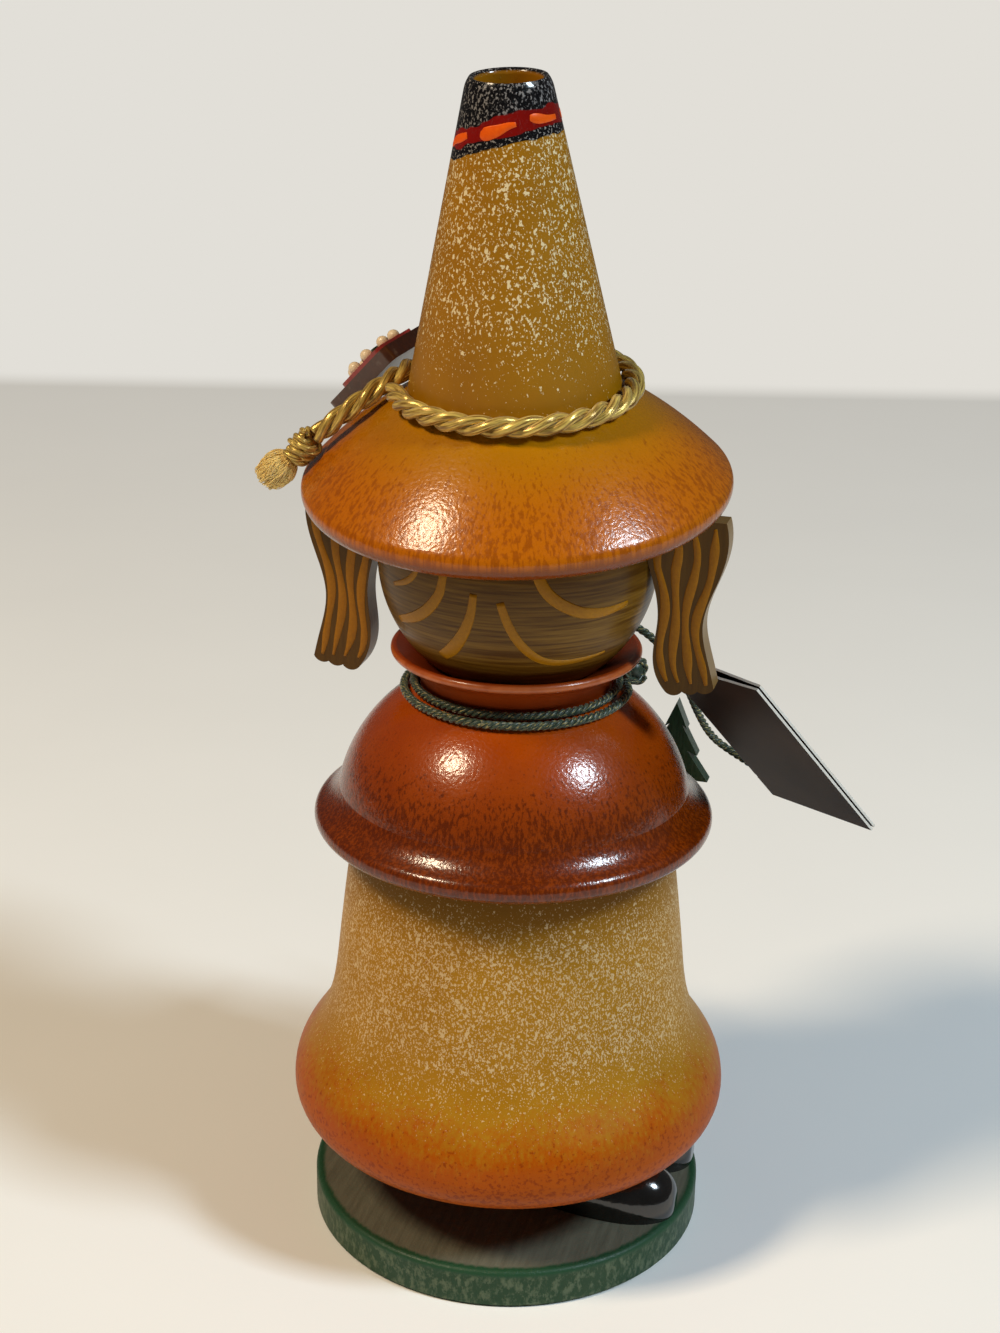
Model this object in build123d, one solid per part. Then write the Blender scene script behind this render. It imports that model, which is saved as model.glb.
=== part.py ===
from build123d import *
import math
import os

# A turned wooden incense smoker: a figure in a cape and a tall pointed hat, on a round base.
# Millimetres, +Z up. The upper half looks towards -Y. The origin is the middle of the base's underside.

# Fits and clearances
GLUE_GAP = 0.1
TURN_CLEARANCE = 0.05
LIFT_CLEARANCE = 0.08
HALVES_GAP = 0.3
CORD_GAP = 0.2

# The lower half is set a quarter turn from the upper half
LOWER_TURN = -90.0

# Base
BASE_RADIUS = 33.2
BASE_HEIGHT = 6.7
BASE_TOP_ROUND = 0.9
BASE_FOOT_CHAMFER = 0.5

# Shoes and legs
SHOE_LENGTH = 27.0
SHOE_HALF_WIDTH = 6.7
SHOE_SOLE = 1.9
SHOE_TOE_BLUNT = 9.5
SHOE_TIP = 1.2
SHOE_SPREAD = 7.6
SHOE_TOE_REACH = 31.6
LEG_RADIUS = 4.2
LEG_SET_BACK = 16.5
LEG_IN_BASE = 4.0
LEG_IN_SKIRT = 9.0

# Skirt, a bell from the bulge up to the shoulder, with rises above its underside
SKIRT_UNDERSIDE = 17.9
BULGE_RADIUS = 36.5
BULGE_RISE = 6.8
BULGE_ROUND = 6.6
FLARE_RADIUS = 32.0
FLARE_RISE = 17.1
THIGH_RADIUS = 28.7
THIGH_RISE = 31.6
SHOULDER_RADIUS = 26.1

# Incense cup, let into the top of the skirt
CUP_RADIUS = 12.3
CUP_WALL = 2.5
CUP_RISE = 5.0
CUP_DEPTH = 10.15
CUP_BOTTOM = 3.5
AIR_HOLE_RADIUS = 2.0
AIR_HOLES = 3

# Incense plate and its nails
PLATE_RADIUS = 7.6
PLATE_THICKNESS = 0.5
PLATE_RIM = 1.4
NAIL_RADIUS = 0.6
NAIL_HEAD_RADIUS = 1.3
NAIL_HEAD = 0.5
NAIL_LENGTH = 3.0
NAIL_INSET = 2.2

# Seat ring
RING_RADIUS = 22.4
RING_HEIGHT = 5.0
RING_LEDGE = 2.6
RING_CHAMFER = 0.4

# Cape, with rises above the height of its lip
LIP_OUT = 3.35
LIP_HEIGHT = 73.35
LIP_ROUND = 1.9
LIP_TOP_ANGLE = 60.0
DOME_CENTRE = 3.7
DOME_CENTRE_DROP = 0.65
DOME_RADIUS = 25.4
DOME_FOOT_RISE = 5.15
CAPE_WALL = 5.0

# Neck and collar, with rises above the collar's foot
NECK_RADIUS = 9.0
NECK_WALL = 2.0
NECK_IN_CAPE = 4.3
NECK_LENGTH = 15.0
COLLAR_FOOT_RADIUS = 15.3
COLLAR_FLOOR = 1.364
COLLAR_LIP_RADIUS = 20.0
COLLAR_LIP_RISE = 6.1
COLLAR_LIP_ROUND = 0.7
COLLAR_WAIST_RADIUS = 16.0
COLLAR_WAIST_RISE = 2.9
COLLAR_SEAT_RADIUS = 13.2

# Head, nose and hair, counted from the head's middle, and the hair's gap below the brim
HEAD_RADIUS = 22.0
NOSE_RADIUS = 2.4
NOSE_DROP = 2.3
NOSE_PEG_RADIUS = 1.0
NOSE_PEG_LENGTH = 5.0
HAIR_THICKNESS = 4.0
HAIR_SET_BACK = 2.6
HAIR_GAP = 1.05
LEFT_HAIR_RATIO = 1.07
LOCK_RADIUS = 1.75
# Hair outline: distance from the middle, and depth below the hair's top
HAIR_OUTER = [(33.2, 0), (32.7, 8.4), (30.4, 16.4), (31.6, 22.6), (32.6, 26.4)]
HAIR_LOCKS = [(32.6, 26.4), (30.1, 27.1), (27.7, 27.4), (25.0, 27.6)]
HAIR_INNER = [(25.0, 27.6), (22.9, 21.4), (23.4, 16.0), (22.4, 10.0), (18.0, 0)]
PIN_RADIUS = 1.0
PIN_LENGTH = 9.0
PIN_RISE = 3.7
PIN_START = 17.5

# Arms and hands, counted from the cape's lip, and the tree, counted from the hand's middle
ARM_ANGLE = 30.3
SLEEVE_INSET = 3.25
SLEEVE_DROP = 1.05
SLEEVE_RADIUS = 3.2
CUFF_RADIUS = 2.8
HAND_OUT = 7.15
HAND_DROP = 11.85
HAND_RADIUS = 3.2
TREE_OUT = 0.6
TREE_RISE = 5.8
TREE_LENGTH = 14.5
TREE_HALF_WIDTH = 6.1
TREE_TIERS = 3
TREE_NOTCH_RATIO = 0.55
TREE_THICKNESS = 2.6
TRUNK_RADIUS = 1.2
TRUNK_DROP = 2.5
TRUNK_IN_TREE = 4.0

# Hat, drawn upright with rises above the head's top, and then tilted back about the head's middle
HAT_TILT = 8.0
CONE_BASE_RADIUS = 16.35
CONE_BASE_RISE = 4.8
CONE_TOP_RADIUS = 6.35
CONE_LENGTH = 44.7
CONE_CREST_RISE = 1.7
CONE_WALL = 3.0
MOUTH_INSET = 1.6
MOUTH_ROUND = 0.8
TENON_RADIUS = 12.0
TENON_HEIGHT = 4.0
HAT_BORE = 8.0
BRIM_RADIUS = 33.05
BRIM_DROP = 9.3
BRIM_ROUND = 2.45
BRIM_TOP_ANGLE = 48.0
BRIM_CROWN_RADIUS = 24.85
BRIM_CROWN_DROP = 0.8

# Gold hat cord
HAT_CORD = 3.2
HAT_CORD_START = 32.0
HAT_CORD_END = 346.0
# Bends of the cord's tail in the upright hat: X, Y, and drop below the turn round the cone
HAT_TAIL_BENDS = [(21.8, 5.6, 1.88), (26.2, 7.4, 5.18), (29.2, 7.9, 7.78)]
HAT_KNOT_RADIUS = 2.55
HAT_KNOT_LENGTH = 5.6
TASSEL_LENGTH = 5.4
TASSEL_RADIUS = 2.5
TASSEL_NECK = 1.3

# Tile on the hat
TILE_SIDE = 15.2
TILE_THICKNESS = 2.5
TILE_ROUND = 1.2
TILE_AZIMUTH = -12.0
TILE_SHIFT = 4.0
TILE_LIFT = 0.6
TILE_SLOPE = 44.0
TILE_OUT = 22.6
ICING_SIDE = 10.5
ICING_THICKNESS = 1.0
BEAD_RADIUS = 1.0
BEADS = 8
BEAD_CIRCLE = 4.3
LEAF_LENGTH = 3.4
LEAF_HALF_WIDTH = 0.8

# Green neck cord, tag cord and tag
NECK_CORD = 1.4
NECK_CORD_TURN_GAP = 0.5
NECK_KNOT_AZIMUTH = 222.0
NECK_KNOT_RADIUS = 2.5
NECK_KNOT_LENGTH = 5.6
TAG_KNOT_AZIMUTH = 248.0
TAG_KNOT_RADIUS = 1.45
TAG_KNOT_LENGTH = 3.2
KNOT_WRAPS = 3
TAG_WIDTH = 24.5
TAG_LENGTH = 36.8
TAG_LEAF = 0.4
TAG_SPINE_RADIUS = 1.25
TAG_FREE_GAP = 0.3
TAG_NOTCH = 31.3
TAG_NOTCH_RADIUS = 1.3
TAG_ACROSS = Vector(-18.0, 16.4, 2.45)
TAG_DOWN = Vector(-18.1, -15.5, -28.0)
# Upper end of the tag's fold, and bends of its cord: X, Y, and rise above the collar's foot
TAG_CORNER = (-21.1, -14.9, 1.7)
TAG_CORD_BENDS = [
    (-9.0, -19.8, 3.1),
    (-11.8, -19.4, 5.1),
    (-15.2, -18.3, 5.2),
    (-18.4, -18.6, 3.3),
    (-21.0, -21.0, -0.9),
    (-23.6, -23.8, -6.7),
    (-25.4, -26.8, -12.9),
    (-27.4, -29.6, -17.7),
    (-30.4, -30.5, -20.1),
]

# Sizes that follow from those above
LOWER_PLACE = Rot(0, 0, LOWER_TURN)
BULGE_HEIGHT = SKIRT_UNDERSIDE + BULGE_RISE
FLARE_HEIGHT = SKIRT_UNDERSIDE + FLARE_RISE
THIGH_HEIGHT = SKIRT_UNDERSIDE + THIGH_RISE
SHOULDER_HEIGHT = LIP_HEIGHT - LIP_ROUND - HALVES_GAP
CUP_OUTER = CUP_RADIUS + CUP_WALL
CUP_FLOOR = SHOULDER_HEIGHT + CUP_RISE - CUP_DEPTH
AIR_HOLE_CIRCLE = CUP_RADIUS - AIR_HOLE_RADIUS - GLUE_GAP
NAIL_PLACE = PLATE_RADIUS - NAIL_INSET
RING_TOP = SHOULDER_HEIGHT + RING_HEIGHT
CHAMBER_RADIUS = RING_RADIUS - RING_LEDGE
LIP_RADIUS = DOME_CENTRE + DOME_RADIUS + LIP_OUT
DOME_CENTRE_HEIGHT = LIP_HEIGHT - DOME_CENTRE_DROP
SLEEVE_START = LIP_RADIUS - SLEEVE_INSET
SLEEVE_START_HEIGHT = LIP_HEIGHT - SLEEVE_DROP
HAND_REACH = LIP_RADIUS + HAND_OUT
HAND_HEIGHT = LIP_HEIGHT - HAND_DROP
TREE_REACH = HAND_REACH + TREE_OUT
TREE_FOOT = HAND_HEIGHT + TREE_RISE
TREE_TOP = TREE_FOOT + TREE_LENGTH
TRUNK_FOOT = HAND_HEIGHT - TRUNK_DROP
NECK_BORE = NECK_RADIUS - NECK_WALL


def dome_height(radius, offset=0.0):
    """Height of the cape's dome, or of a curve that far outside it, at a radius."""
    return DOME_CENTRE_HEIGHT + math.sqrt((DOME_RADIUS + offset) ** 2 - (radius - DOME_CENTRE) ** 2)


def ball_drop(radius):
    """How far the head's seat lies below the head's middle at a radius."""
    return math.sqrt((HEAD_RADIUS + GLUE_GAP) ** 2 - radius**2)


# Heights from the collar up
COLLAR_FOOT = dome_height(COLLAR_FOOT_RADIUS)
COLLAR_LIP_HEIGHT = COLLAR_FOOT + COLLAR_LIP_RISE
NECK_FOOT = COLLAR_FOOT - NECK_IN_CAPE
NECK_TOP = NECK_FOOT + NECK_LENGTH
HEAD_HEIGHT = COLLAR_FOOT + COLLAR_FLOOR + ball_drop(NECK_RADIUS + GLUE_GAP)
HEAD_TOP = HEAD_HEIGHT + HEAD_RADIUS
NOSE_HEIGHT = HEAD_HEIGHT - NOSE_DROP
PIN_HEIGHT = HEAD_HEIGHT + PIN_RISE
BRIM_HEIGHT = HEAD_TOP - BRIM_DROP
HAIR_TOP = BRIM_HEIGHT - BRIM_ROUND - HAIR_GAP
BRIM_CROWN_HEIGHT = HEAD_TOP - BRIM_CROWN_DROP
CONE_BASE_HEIGHT = HEAD_TOP + CONE_BASE_RISE
CONE_TOP_HEIGHT = CONE_BASE_HEIGHT + CONE_LENGTH
CONE_CREST = CONE_TOP_HEIGHT + CONE_CREST_RISE
CONE_TAPER = (CONE_BASE_RADIUS - CONE_TOP_RADIUS) / CONE_LENGTH
MOUTH_RADIUS = CONE_TOP_RADIUS - MOUTH_INSET
HEAD_CENTRE = Pos(0, 0, HEAD_HEIGHT)
HAT_PLACE = HEAD_CENTRE * Rot(-HAT_TILT, 0, 0) * HEAD_CENTRE.inverse()


def around(radius, azimuth, height):
    """Point at a radius and an azimuth in degrees."""
    angle = math.radians(azimuth)
    return Vector(radius * math.cos(angle), radius * math.sin(angle), height)


def along(azimuth):
    """Unit vector along a circle about Z, anticlockwise, at an azimuth in degrees."""
    return around(1, azimuth + 90, 0)


def turned(*edges):
    """Solid of revolution about Z, from a closed outline of radius and height."""
    return revolve(Plane.XZ * make_face(edges), Axis.Z)


def outline(*points):
    """Straight edges through the points, open at the end."""
    return [Line(a, b) for a, b in zip(points, points[1:])]


def drill(radius, foot, top, x=0.0, y=0.0):
    """Upright cylinder between two heights, for a hole or a dowel."""
    return Pos(x, y, (foot + top) / 2) * Cylinder(radius, top - foot)


def on_round(centre, radius, angle):
    """Point on a circle in the outline plane."""
    return (
        centre[0] + radius * math.cos(math.radians(angle)),
        centre[1] + radius * math.sin(math.radians(angle)),
    )


def round_quarter(tip, side):
    """Quarter of an oval, level at the tip and upright at the side."""
    share = 0.55
    level = (tip[0] + share * (side[0] - tip[0]), tip[1])
    upright = (side[0], side[1] + share * (tip[1] - side[1]))
    return Bezier(tip, level, upright, side)


def biarc(start, start_way, end, end_way):
    """Two arcs that leave start along start_way, join smoothly and reach end along end_way."""
    gap = end - start
    ways = start_way + end_way
    square = 2 * (1 - start_way.dot(end_way))
    linear = gap.dot(ways)
    reach = gap.dot(gap) / (linear + math.sqrt(linear**2 + square * gap.dot(gap)))
    joint = (start + start_way * reach + end - end_way * reach) / 2
    return [TangentArc(start, joint, tangent=start_way), TangentArc(end, joint, tangent=end_way * -1)]


def through_stations(stations):
    """Smooth chain of arcs through a list of points, each with its direction."""
    edges = []
    for (a, a_way), (b, b_way) in zip(stations, stations[1:]):
        edges += biarc(a, a_way, b, b_way)
    return edges


def corner_radii(points):
    """Radius for each corner of a cord's route: as large as its two runs allow."""
    radii = []
    for a, b, c in zip(points, points[1:], points[2:]):
        run = min((b - a).length, (c - b).length)
        turn = (b - a).get_angle(c - b)
        radii.append(0.45 * run / math.tan(math.radians(turn) / 2))
    return radii


def cord_tube(name, path, diameter):
    """Round tube along a path, with its volume set against section times length."""
    section = Plane(path @ 0, z_dir=path % 0) * Circle(diameter / 2)
    tube = sweep(section, path)
    expected = math.pi / 4 * diameter**2 * path.length
    print(f"{name}: length {path.length:.1f}")
    print(f"{name}: volume {tube.volume:.1f}, section times length {expected:.1f}")
    return tube


def least_gap(path, diameter, samples=240):
    """Least gap between parts of a winding that are not neighbours along it."""
    points = [path @ (i / samples) for i in range(samples + 1)]
    skip = math.ceil(4 * diameter / (path.length / samples))
    gaps = [
        (points[i] - points[j]).length
        for i in range(samples + 1)
        for j in range(i + skip, samples + 1)
    ]
    return min(gaps) - diameter


def barrel_knot(radius, length, wraps, core):
    """Knot as a row of wraps round a core, along Z and centred on the origin."""
    pitch = length / wraps
    edges = outline((core, -length / 2), (0, -length / 2), (0, length / 2), (core, length / 2))
    for i in range(wraps):
        low = -length / 2 + i * pitch
        edges.append(ThreePointArc((core, low), (radius, low + pitch / 2), (core, low + pitch)))
    return turned(*edges)


# Lower half


def foot_places():
    """Left and right leg places, as if the lower half looked towards -Y."""
    return {"left": (SHOE_SPREAD, -LEG_SET_BACK), "right": (-SHOE_SPREAD, -LEG_SET_BACK)}


def base():
    plate = drill(BASE_RADIUS, 0, BASE_HEIGHT)
    plate = fillet(plate.edges().sort_by(Axis.Z)[-1], BASE_TOP_ROUND)
    plate = chamfer(plate.edges().sort_by(Axis.Z)[0], BASE_FOOT_CHAMFER)
    for x, y in foot_places().values():
        plate -= drill(LEG_RADIUS + GLUE_GAP, BASE_HEIGHT - LEG_IN_BASE, BASE_HEIGHT + 1, x, y)
    return LOWER_PLACE * plate


def shoe(side):
    """Half of an egg, blunt at the toe, lying on a flat sole."""
    x, y = foot_places()[side]
    toe = -SHOE_TOE_BLUNT
    heel = SHOE_LENGTH - SHOE_TOE_BLUNT
    egg = turned(
        round_quarter((SHOE_TIP, toe), (SHOE_HALF_WIDTH, 0)),
        round_quarter((SHOE_TIP, heel), (SHOE_HALF_WIDTH, 0)),
        *outline((SHOE_TIP, heel), (0, heel), (0, toe), (SHOE_TIP, toe)),
    )
    egg = Pos(x, SHOE_TOE_BLUNT - SHOE_TOE_REACH, BASE_HEIGHT + SHOE_SOLE) * Rot(-90, 0, 0) * egg
    egg -= drill(2 * SHOE_LENGTH, -BASE_HEIGHT, BASE_HEIGHT)
    egg -= drill(LEG_RADIUS + GLUE_GAP, BASE_HEIGHT - 1, SKIRT_UNDERSIDE, x, y)
    return LOWER_PLACE * egg


def leg(side):
    x, y = foot_places()[side]
    foot = BASE_HEIGHT - LEG_IN_BASE
    return LOWER_PLACE * drill(LEG_RADIUS, foot, SKIRT_UNDERSIDE + LEG_IN_SKIRT, x, y)


def nail_places():
    return [(NAIL_PLACE, 0), (-NAIL_PLACE, 0)]


def air_holes(foot, top):
    """Upright drills for the air that feeds the incense."""
    holes = []
    for i in range(AIR_HOLES):
        place = around(AIR_HOLE_CIRCLE, 90 + i * 360 / AIR_HOLES, 0)
        holes.append(drill(AIR_HOLE_RADIUS, foot, top, place.X, place.Y))
    return holes


def skirt():
    well_radius = CUP_OUTER + GLUE_GAP
    well_floor = CUP_FLOOR - CUP_BOTTOM
    inner_foot = (BULGE_RADIUS - BULGE_ROUND, SKIRT_UNDERSIDE)
    bulge = (BULGE_RADIUS, BULGE_HEIGHT)
    lower = on_round((BULGE_RADIUS - BULGE_ROUND, BULGE_HEIGHT), BULGE_ROUND, -45)
    shoulder = (SHOULDER_RADIUS, SHOULDER_HEIGHT)
    side = Spline(
        bulge,
        (FLARE_RADIUS, FLARE_HEIGHT),
        (THIGH_RADIUS, THIGH_HEIGHT),
        shoulder,
        tangents=[(0, 1), (SHOULDER_RADIUS - THIGH_RADIUS, SHOULDER_HEIGHT - THIGH_HEIGHT)],
    )
    body = turned(
        Line((0, SKIRT_UNDERSIDE), inner_foot),
        ThreePointArc(inner_foot, lower, bulge),
        side,
        *outline(
            shoulder,
            (well_radius, SHOULDER_HEIGHT),
            (well_radius, well_floor),
            (0, well_floor),
            (0, SKIRT_UNDERSIDE),
        ),
    )
    for x, y in foot_places().values():
        body -= drill(LEG_RADIUS + GLUE_GAP, SKIRT_UNDERSIDE - 1, SKIRT_UNDERSIDE + LEG_IN_SKIRT, x, y)
    for hole in air_holes(SKIRT_UNDERSIDE - 1, well_floor + 1):
        body -= hole
    return LOWER_PLACE * body


def incense_cup():
    """Cup for the plate, glued into the skirt, that the seat ring goes over."""
    foot = CUP_FLOOR - CUP_BOTTOM
    brim = SHOULDER_HEIGHT + CUP_RISE
    cup = turned(
        *outline(
            (0, foot),
            (CUP_OUTER, foot),
            (CUP_OUTER, brim),
            (CUP_RADIUS, brim),
            (CUP_RADIUS, CUP_FLOOR),
            (0, CUP_FLOOR),
            (0, foot),
        )
    )
    for hole in air_holes(foot - 1, CUP_FLOOR + 1):
        cup -= hole
    for x, y in nail_places():
        cup -= drill(NAIL_RADIUS + TURN_CLEARANCE, CUP_FLOOR - NAIL_LENGTH, CUP_FLOOR + 1, x, y)
    return LOWER_PLACE * cup


def incense_plate():
    rim_inner = PLATE_RADIUS - PLATE_THICKNESS
    face = CUP_FLOOR + PLATE_THICKNESS
    plate = turned(
        *outline(
            (0, CUP_FLOOR),
            (PLATE_RADIUS, CUP_FLOOR),
            (PLATE_RADIUS, CUP_FLOOR + PLATE_RIM),
            (rim_inner, CUP_FLOOR + PLATE_RIM),
            (rim_inner, face),
            (0, face),
            (0, CUP_FLOOR),
        )
    )
    for x, y in nail_places():
        plate -= drill(NAIL_RADIUS + TURN_CLEARANCE, CUP_FLOOR - 1, face + 1, x, y)
    return LOWER_PLACE * plate


def plate_nails():
    face = CUP_FLOOR + PLATE_THICKNESS
    nails = []
    for x, y in nail_places():
        shank = drill(NAIL_RADIUS, CUP_FLOOR - NAIL_LENGTH + NAIL_HEAD, face, x, y)
        nails.append(LOWER_PLACE * (shank + drill(NAIL_HEAD_RADIUS, face, face + NAIL_HEAD, x, y)))
    return Compound(children=nails)


def seat_ring():
    bore = CUP_OUTER + LIFT_CLEARANCE
    return turned(
        *outline(
            (bore, SHOULDER_HEIGHT),
            (RING_RADIUS, SHOULDER_HEIGHT),
            (RING_RADIUS, RING_TOP - RING_CHAMFER),
            (RING_RADIUS - RING_CHAMFER, RING_TOP),
            (bore, RING_TOP),
            (bore, SHOULDER_HEIGHT),
        )
    )


# Upper half


def cape_skin():
    """Outer edges of the cape, from the underside of its lip up to the collar's seat."""
    lip_centre = (LIP_RADIUS - LIP_ROUND, LIP_HEIGHT)
    lip_foot = on_round(lip_centre, LIP_ROUND, -90)
    lip_side = on_round(lip_centre, LIP_ROUND, 0)
    lip_top = on_round(lip_centre, LIP_ROUND, LIP_TOP_ANGLE)
    lip_way = around(1, LIP_TOP_ANGLE + 90, 0)
    foot_angle = math.degrees(math.asin((DOME_CENTRE_DROP + DOME_FOOT_RISE) / DOME_RADIUS))
    seat_angle = math.degrees(math.acos((COLLAR_FOOT_RADIUS - DOME_CENTRE) / DOME_RADIUS))
    dome = [
        on_round((DOME_CENTRE, DOME_CENTRE_HEIGHT), DOME_RADIUS, angle)
        for angle in (foot_angle, (foot_angle + seat_angle) / 2, seat_angle)
    ]
    return [
        ThreePointArc(lip_foot, lip_side, lip_top),
        TangentArc(lip_top, dome[0], tangent=lip_way),
        ThreePointArc(*dome),
    ]


def cape():
    lip_foot = (LIP_RADIUS - LIP_ROUND, LIP_HEIGHT - LIP_ROUND)
    bore = RING_RADIUS + TURN_CLEARANCE
    neck = NECK_RADIUS + GLUE_GAP
    middle = (CHAMBER_RADIUS + neck) / 2
    crown_foot, crown_middle, crown_top = [
        (radius, dome_height(radius, -CAPE_WALL)) for radius in (CHAMBER_RADIUS, middle, neck)
    ]
    return turned(
        *cape_skin(),
        *outline((COLLAR_FOOT_RADIUS, COLLAR_FOOT), (neck, COLLAR_FOOT), crown_top),
        ThreePointArc(crown_foot, crown_middle, crown_top),
        *outline(crown_foot, (CHAMBER_RADIUS, RING_TOP), (bore, RING_TOP), (bore, lip_foot[1]), lip_foot),
    )


def collar():
    neck = NECK_RADIUS + GLUE_GAP
    lip_centre = (COLLAR_LIP_RADIUS - COLLAR_LIP_ROUND, COLLAR_LIP_HEIGHT)
    lip_under = on_round(lip_centre, COLLAR_LIP_ROUND, -60)
    lip_side = on_round(lip_centre, COLLAR_LIP_ROUND, 20)
    lip_in = on_round(lip_centre, COLLAR_LIP_ROUND, 110)
    foot = (COLLAR_FOOT_RADIUS, COLLAR_FOOT)
    middle = (COLLAR_SEAT_RADIUS + neck) / 2
    seat_edge, seat_middle, seat_bore = [
        (radius, HEAD_HEIGHT - ball_drop(radius)) for radius in (COLLAR_SEAT_RADIUS, middle, neck)
    ]
    return turned(
        Line((neck, COLLAR_FOOT), foot),
        ThreePointArc(foot, (COLLAR_WAIST_RADIUS, COLLAR_FOOT + COLLAR_WAIST_RISE), lip_under),
        ThreePointArc(lip_under, lip_side, lip_in),
        Line(lip_in, seat_edge),
        ThreePointArc(seat_edge, seat_middle, seat_bore),
        Line(seat_bore, (neck, COLLAR_FOOT)),
    )


def neck_tube():
    return drill(NECK_RADIUS, NECK_FOOT, NECK_TOP) - drill(NECK_BORE, NECK_FOOT - 1, NECK_TOP + 1)


def pin_hole(sign, radius):
    """Level cylinder for a hair pin, on the left (1) or right (-1)."""
    middle = sign * (PIN_START + PIN_LENGTH / 2)
    return Pos(middle, HAIR_SET_BACK, PIN_HEIGHT) * Rot(0, 90, 0) * Cylinder(radius, PIN_LENGTH)


def nose_peg(radius):
    """Level cylinder for the nose's peg, from inside the head to the nose's middle."""
    middle = HEAD_RADIUS - NOSE_PEG_LENGTH / 2 + GLUE_GAP
    return Pos(0, -middle, NOSE_HEIGHT) * Rot(90, 0, 0) * Cylinder(radius, NOSE_PEG_LENGTH)


def head():
    ball = HEAD_CENTRE * Sphere(HEAD_RADIUS)
    ball -= drill(NECK_BORE, HEAD_HEIGHT - HEAD_RADIUS - 1, HEAD_TOP + 1)
    ball -= drill(NECK_RADIUS + GLUE_GAP, HEAD_HEIGHT - HEAD_RADIUS - 1, NECK_TOP + GLUE_GAP)
    ball -= pin_hole(1, PIN_RADIUS + TURN_CLEARANCE)
    ball -= pin_hole(-1, PIN_RADIUS + TURN_CLEARANCE)
    ball -= nose_peg(NOSE_PEG_RADIUS + TURN_CLEARANCE)
    return ball


def nose():
    reach = math.sqrt(HEAD_RADIUS**2 - NOSE_DROP**2)
    tip = Pos(0, -reach - NOSE_RADIUS / 3, NOSE_HEIGHT) * Sphere(NOSE_RADIUS)
    tip -= HEAD_CENTRE * Sphere(HEAD_RADIUS + GLUE_GAP)
    return tip + nose_peg(NOSE_PEG_RADIUS)


def hair(sign, stretch):
    """Flat cut-out with wavy sides and three round locks at its foot."""
    outer, locks, inner = [
        [(x, HAIR_TOP - depth * stretch) for x, depth in points]
        for points in (HAIR_OUTER, HAIR_LOCKS, HAIR_INNER)
    ]
    edges = [Spline(*outer), Spline(*inner), Line(inner[-1], outer[0])]
    edges += [RadiusArc(a, b, LOCK_RADIUS) for a, b in zip(locks, locks[1:])]
    flat = Plane.XZ * make_face(edges)
    board = Pos(0, HAIR_SET_BACK + HAIR_THICKNESS / 2, 0) * extrude(flat, HAIR_THICKNESS)
    if sign < 0:
        board = mirror(board, Plane.YZ)
    board -= HEAD_CENTRE * Sphere(HEAD_RADIUS + GLUE_GAP)
    return board - pin_hole(sign, PIN_RADIUS + TURN_CLEARANCE)


def hair_pins():
    return Compound(children=[pin_hole(1, PIN_RADIUS), pin_hole(-1, PIN_RADIUS)])


def arm_azimuth(sign):
    """Azimuth of the left (1) or right (-1) arm."""
    return -90 + sign * ARM_ANGLE


def arm(sign):
    """Tapered sleeve that comes out under the cape's rim and ends on the hand."""
    start = around(SLEEVE_START, arm_azimuth(sign), SLEEVE_START_HEIGHT)
    palm = around(HAND_REACH, arm_azimuth(sign), HAND_HEIGHT)
    length = (palm - start).length
    sleeve = Pos(0, 0, length / 2) * Cone(SLEEVE_RADIUS, CUFF_RADIUS, length)
    cope = turned(
        *cape_skin(),
        *outline(
            (COLLAR_FOOT_RADIUS, COLLAR_FOOT),
            (0, COLLAR_FOOT),
            (0, LIP_HEIGHT - LIP_ROUND),
            (LIP_RADIUS - LIP_ROUND, LIP_HEIGHT - LIP_ROUND),
        ),
    )
    sleeve = Plane(start, z_dir=palm - start).location * sleeve
    sleeve -= Pos(*palm) * Sphere(HAND_RADIUS + GLUE_GAP)
    if sign < 0:
        sleeve -= trunk_rod(TRUNK_RADIUS + GLUE_GAP, TRUNK_FOOT, TREE_FOOT)
    return sleeve - offset(cope, GLUE_GAP)


def trunk_rod(radius, foot, top):
    """Upright cylinder at the tree's place in the right hand."""
    place = around(TREE_REACH, arm_azimuth(-1), 0)
    return drill(radius, foot, top, place.X, place.Y)


def hand(sign):
    """Ball hand, bored for the tree's trunk on the right."""
    ball = Pos(*around(HAND_REACH, arm_azimuth(sign), HAND_HEIGHT)) * Sphere(HAND_RADIUS)
    if sign < 0:
        ball -= trunk_rod(TRUNK_RADIUS + TURN_CLEARANCE, TRUNK_FOOT, TREE_FOOT)
    return ball


def fir_tree():
    """Flat cut-out tree with notched tiers, above the right hand."""
    place = around(TREE_REACH, arm_azimuth(-1), 0)
    tier = TREE_LENGTH / TREE_TIERS
    side = [(0, TREE_TOP)]
    for i in range(TREE_TIERS):
        width = TREE_HALF_WIDTH * (i + 1) / TREE_TIERS
        side.append((width, TREE_TOP - tier * (i + 1)))
        if i < TREE_TIERS - 1:
            side.append((width * TREE_NOTCH_RATIO, TREE_TOP - tier * (i + 0.85)))
    points = side + [(-x, z) for x, z in reversed(side[1:])]
    board = extrude(Plane.XZ * make_face(Polyline(*points, close=True)), TREE_THICKNESS)
    board = Pos(place.X, place.Y + TREE_THICKNESS / 2, 0) * board
    return board - trunk_rod(TRUNK_RADIUS + TURN_CLEARANCE, TREE_FOOT - 1, TREE_FOOT + TRUNK_IN_TREE)


def tree_trunk():
    return trunk_rod(TRUNK_RADIUS, TRUNK_FOOT, TREE_FOOT + TRUNK_IN_TREE)


# Hat


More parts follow.
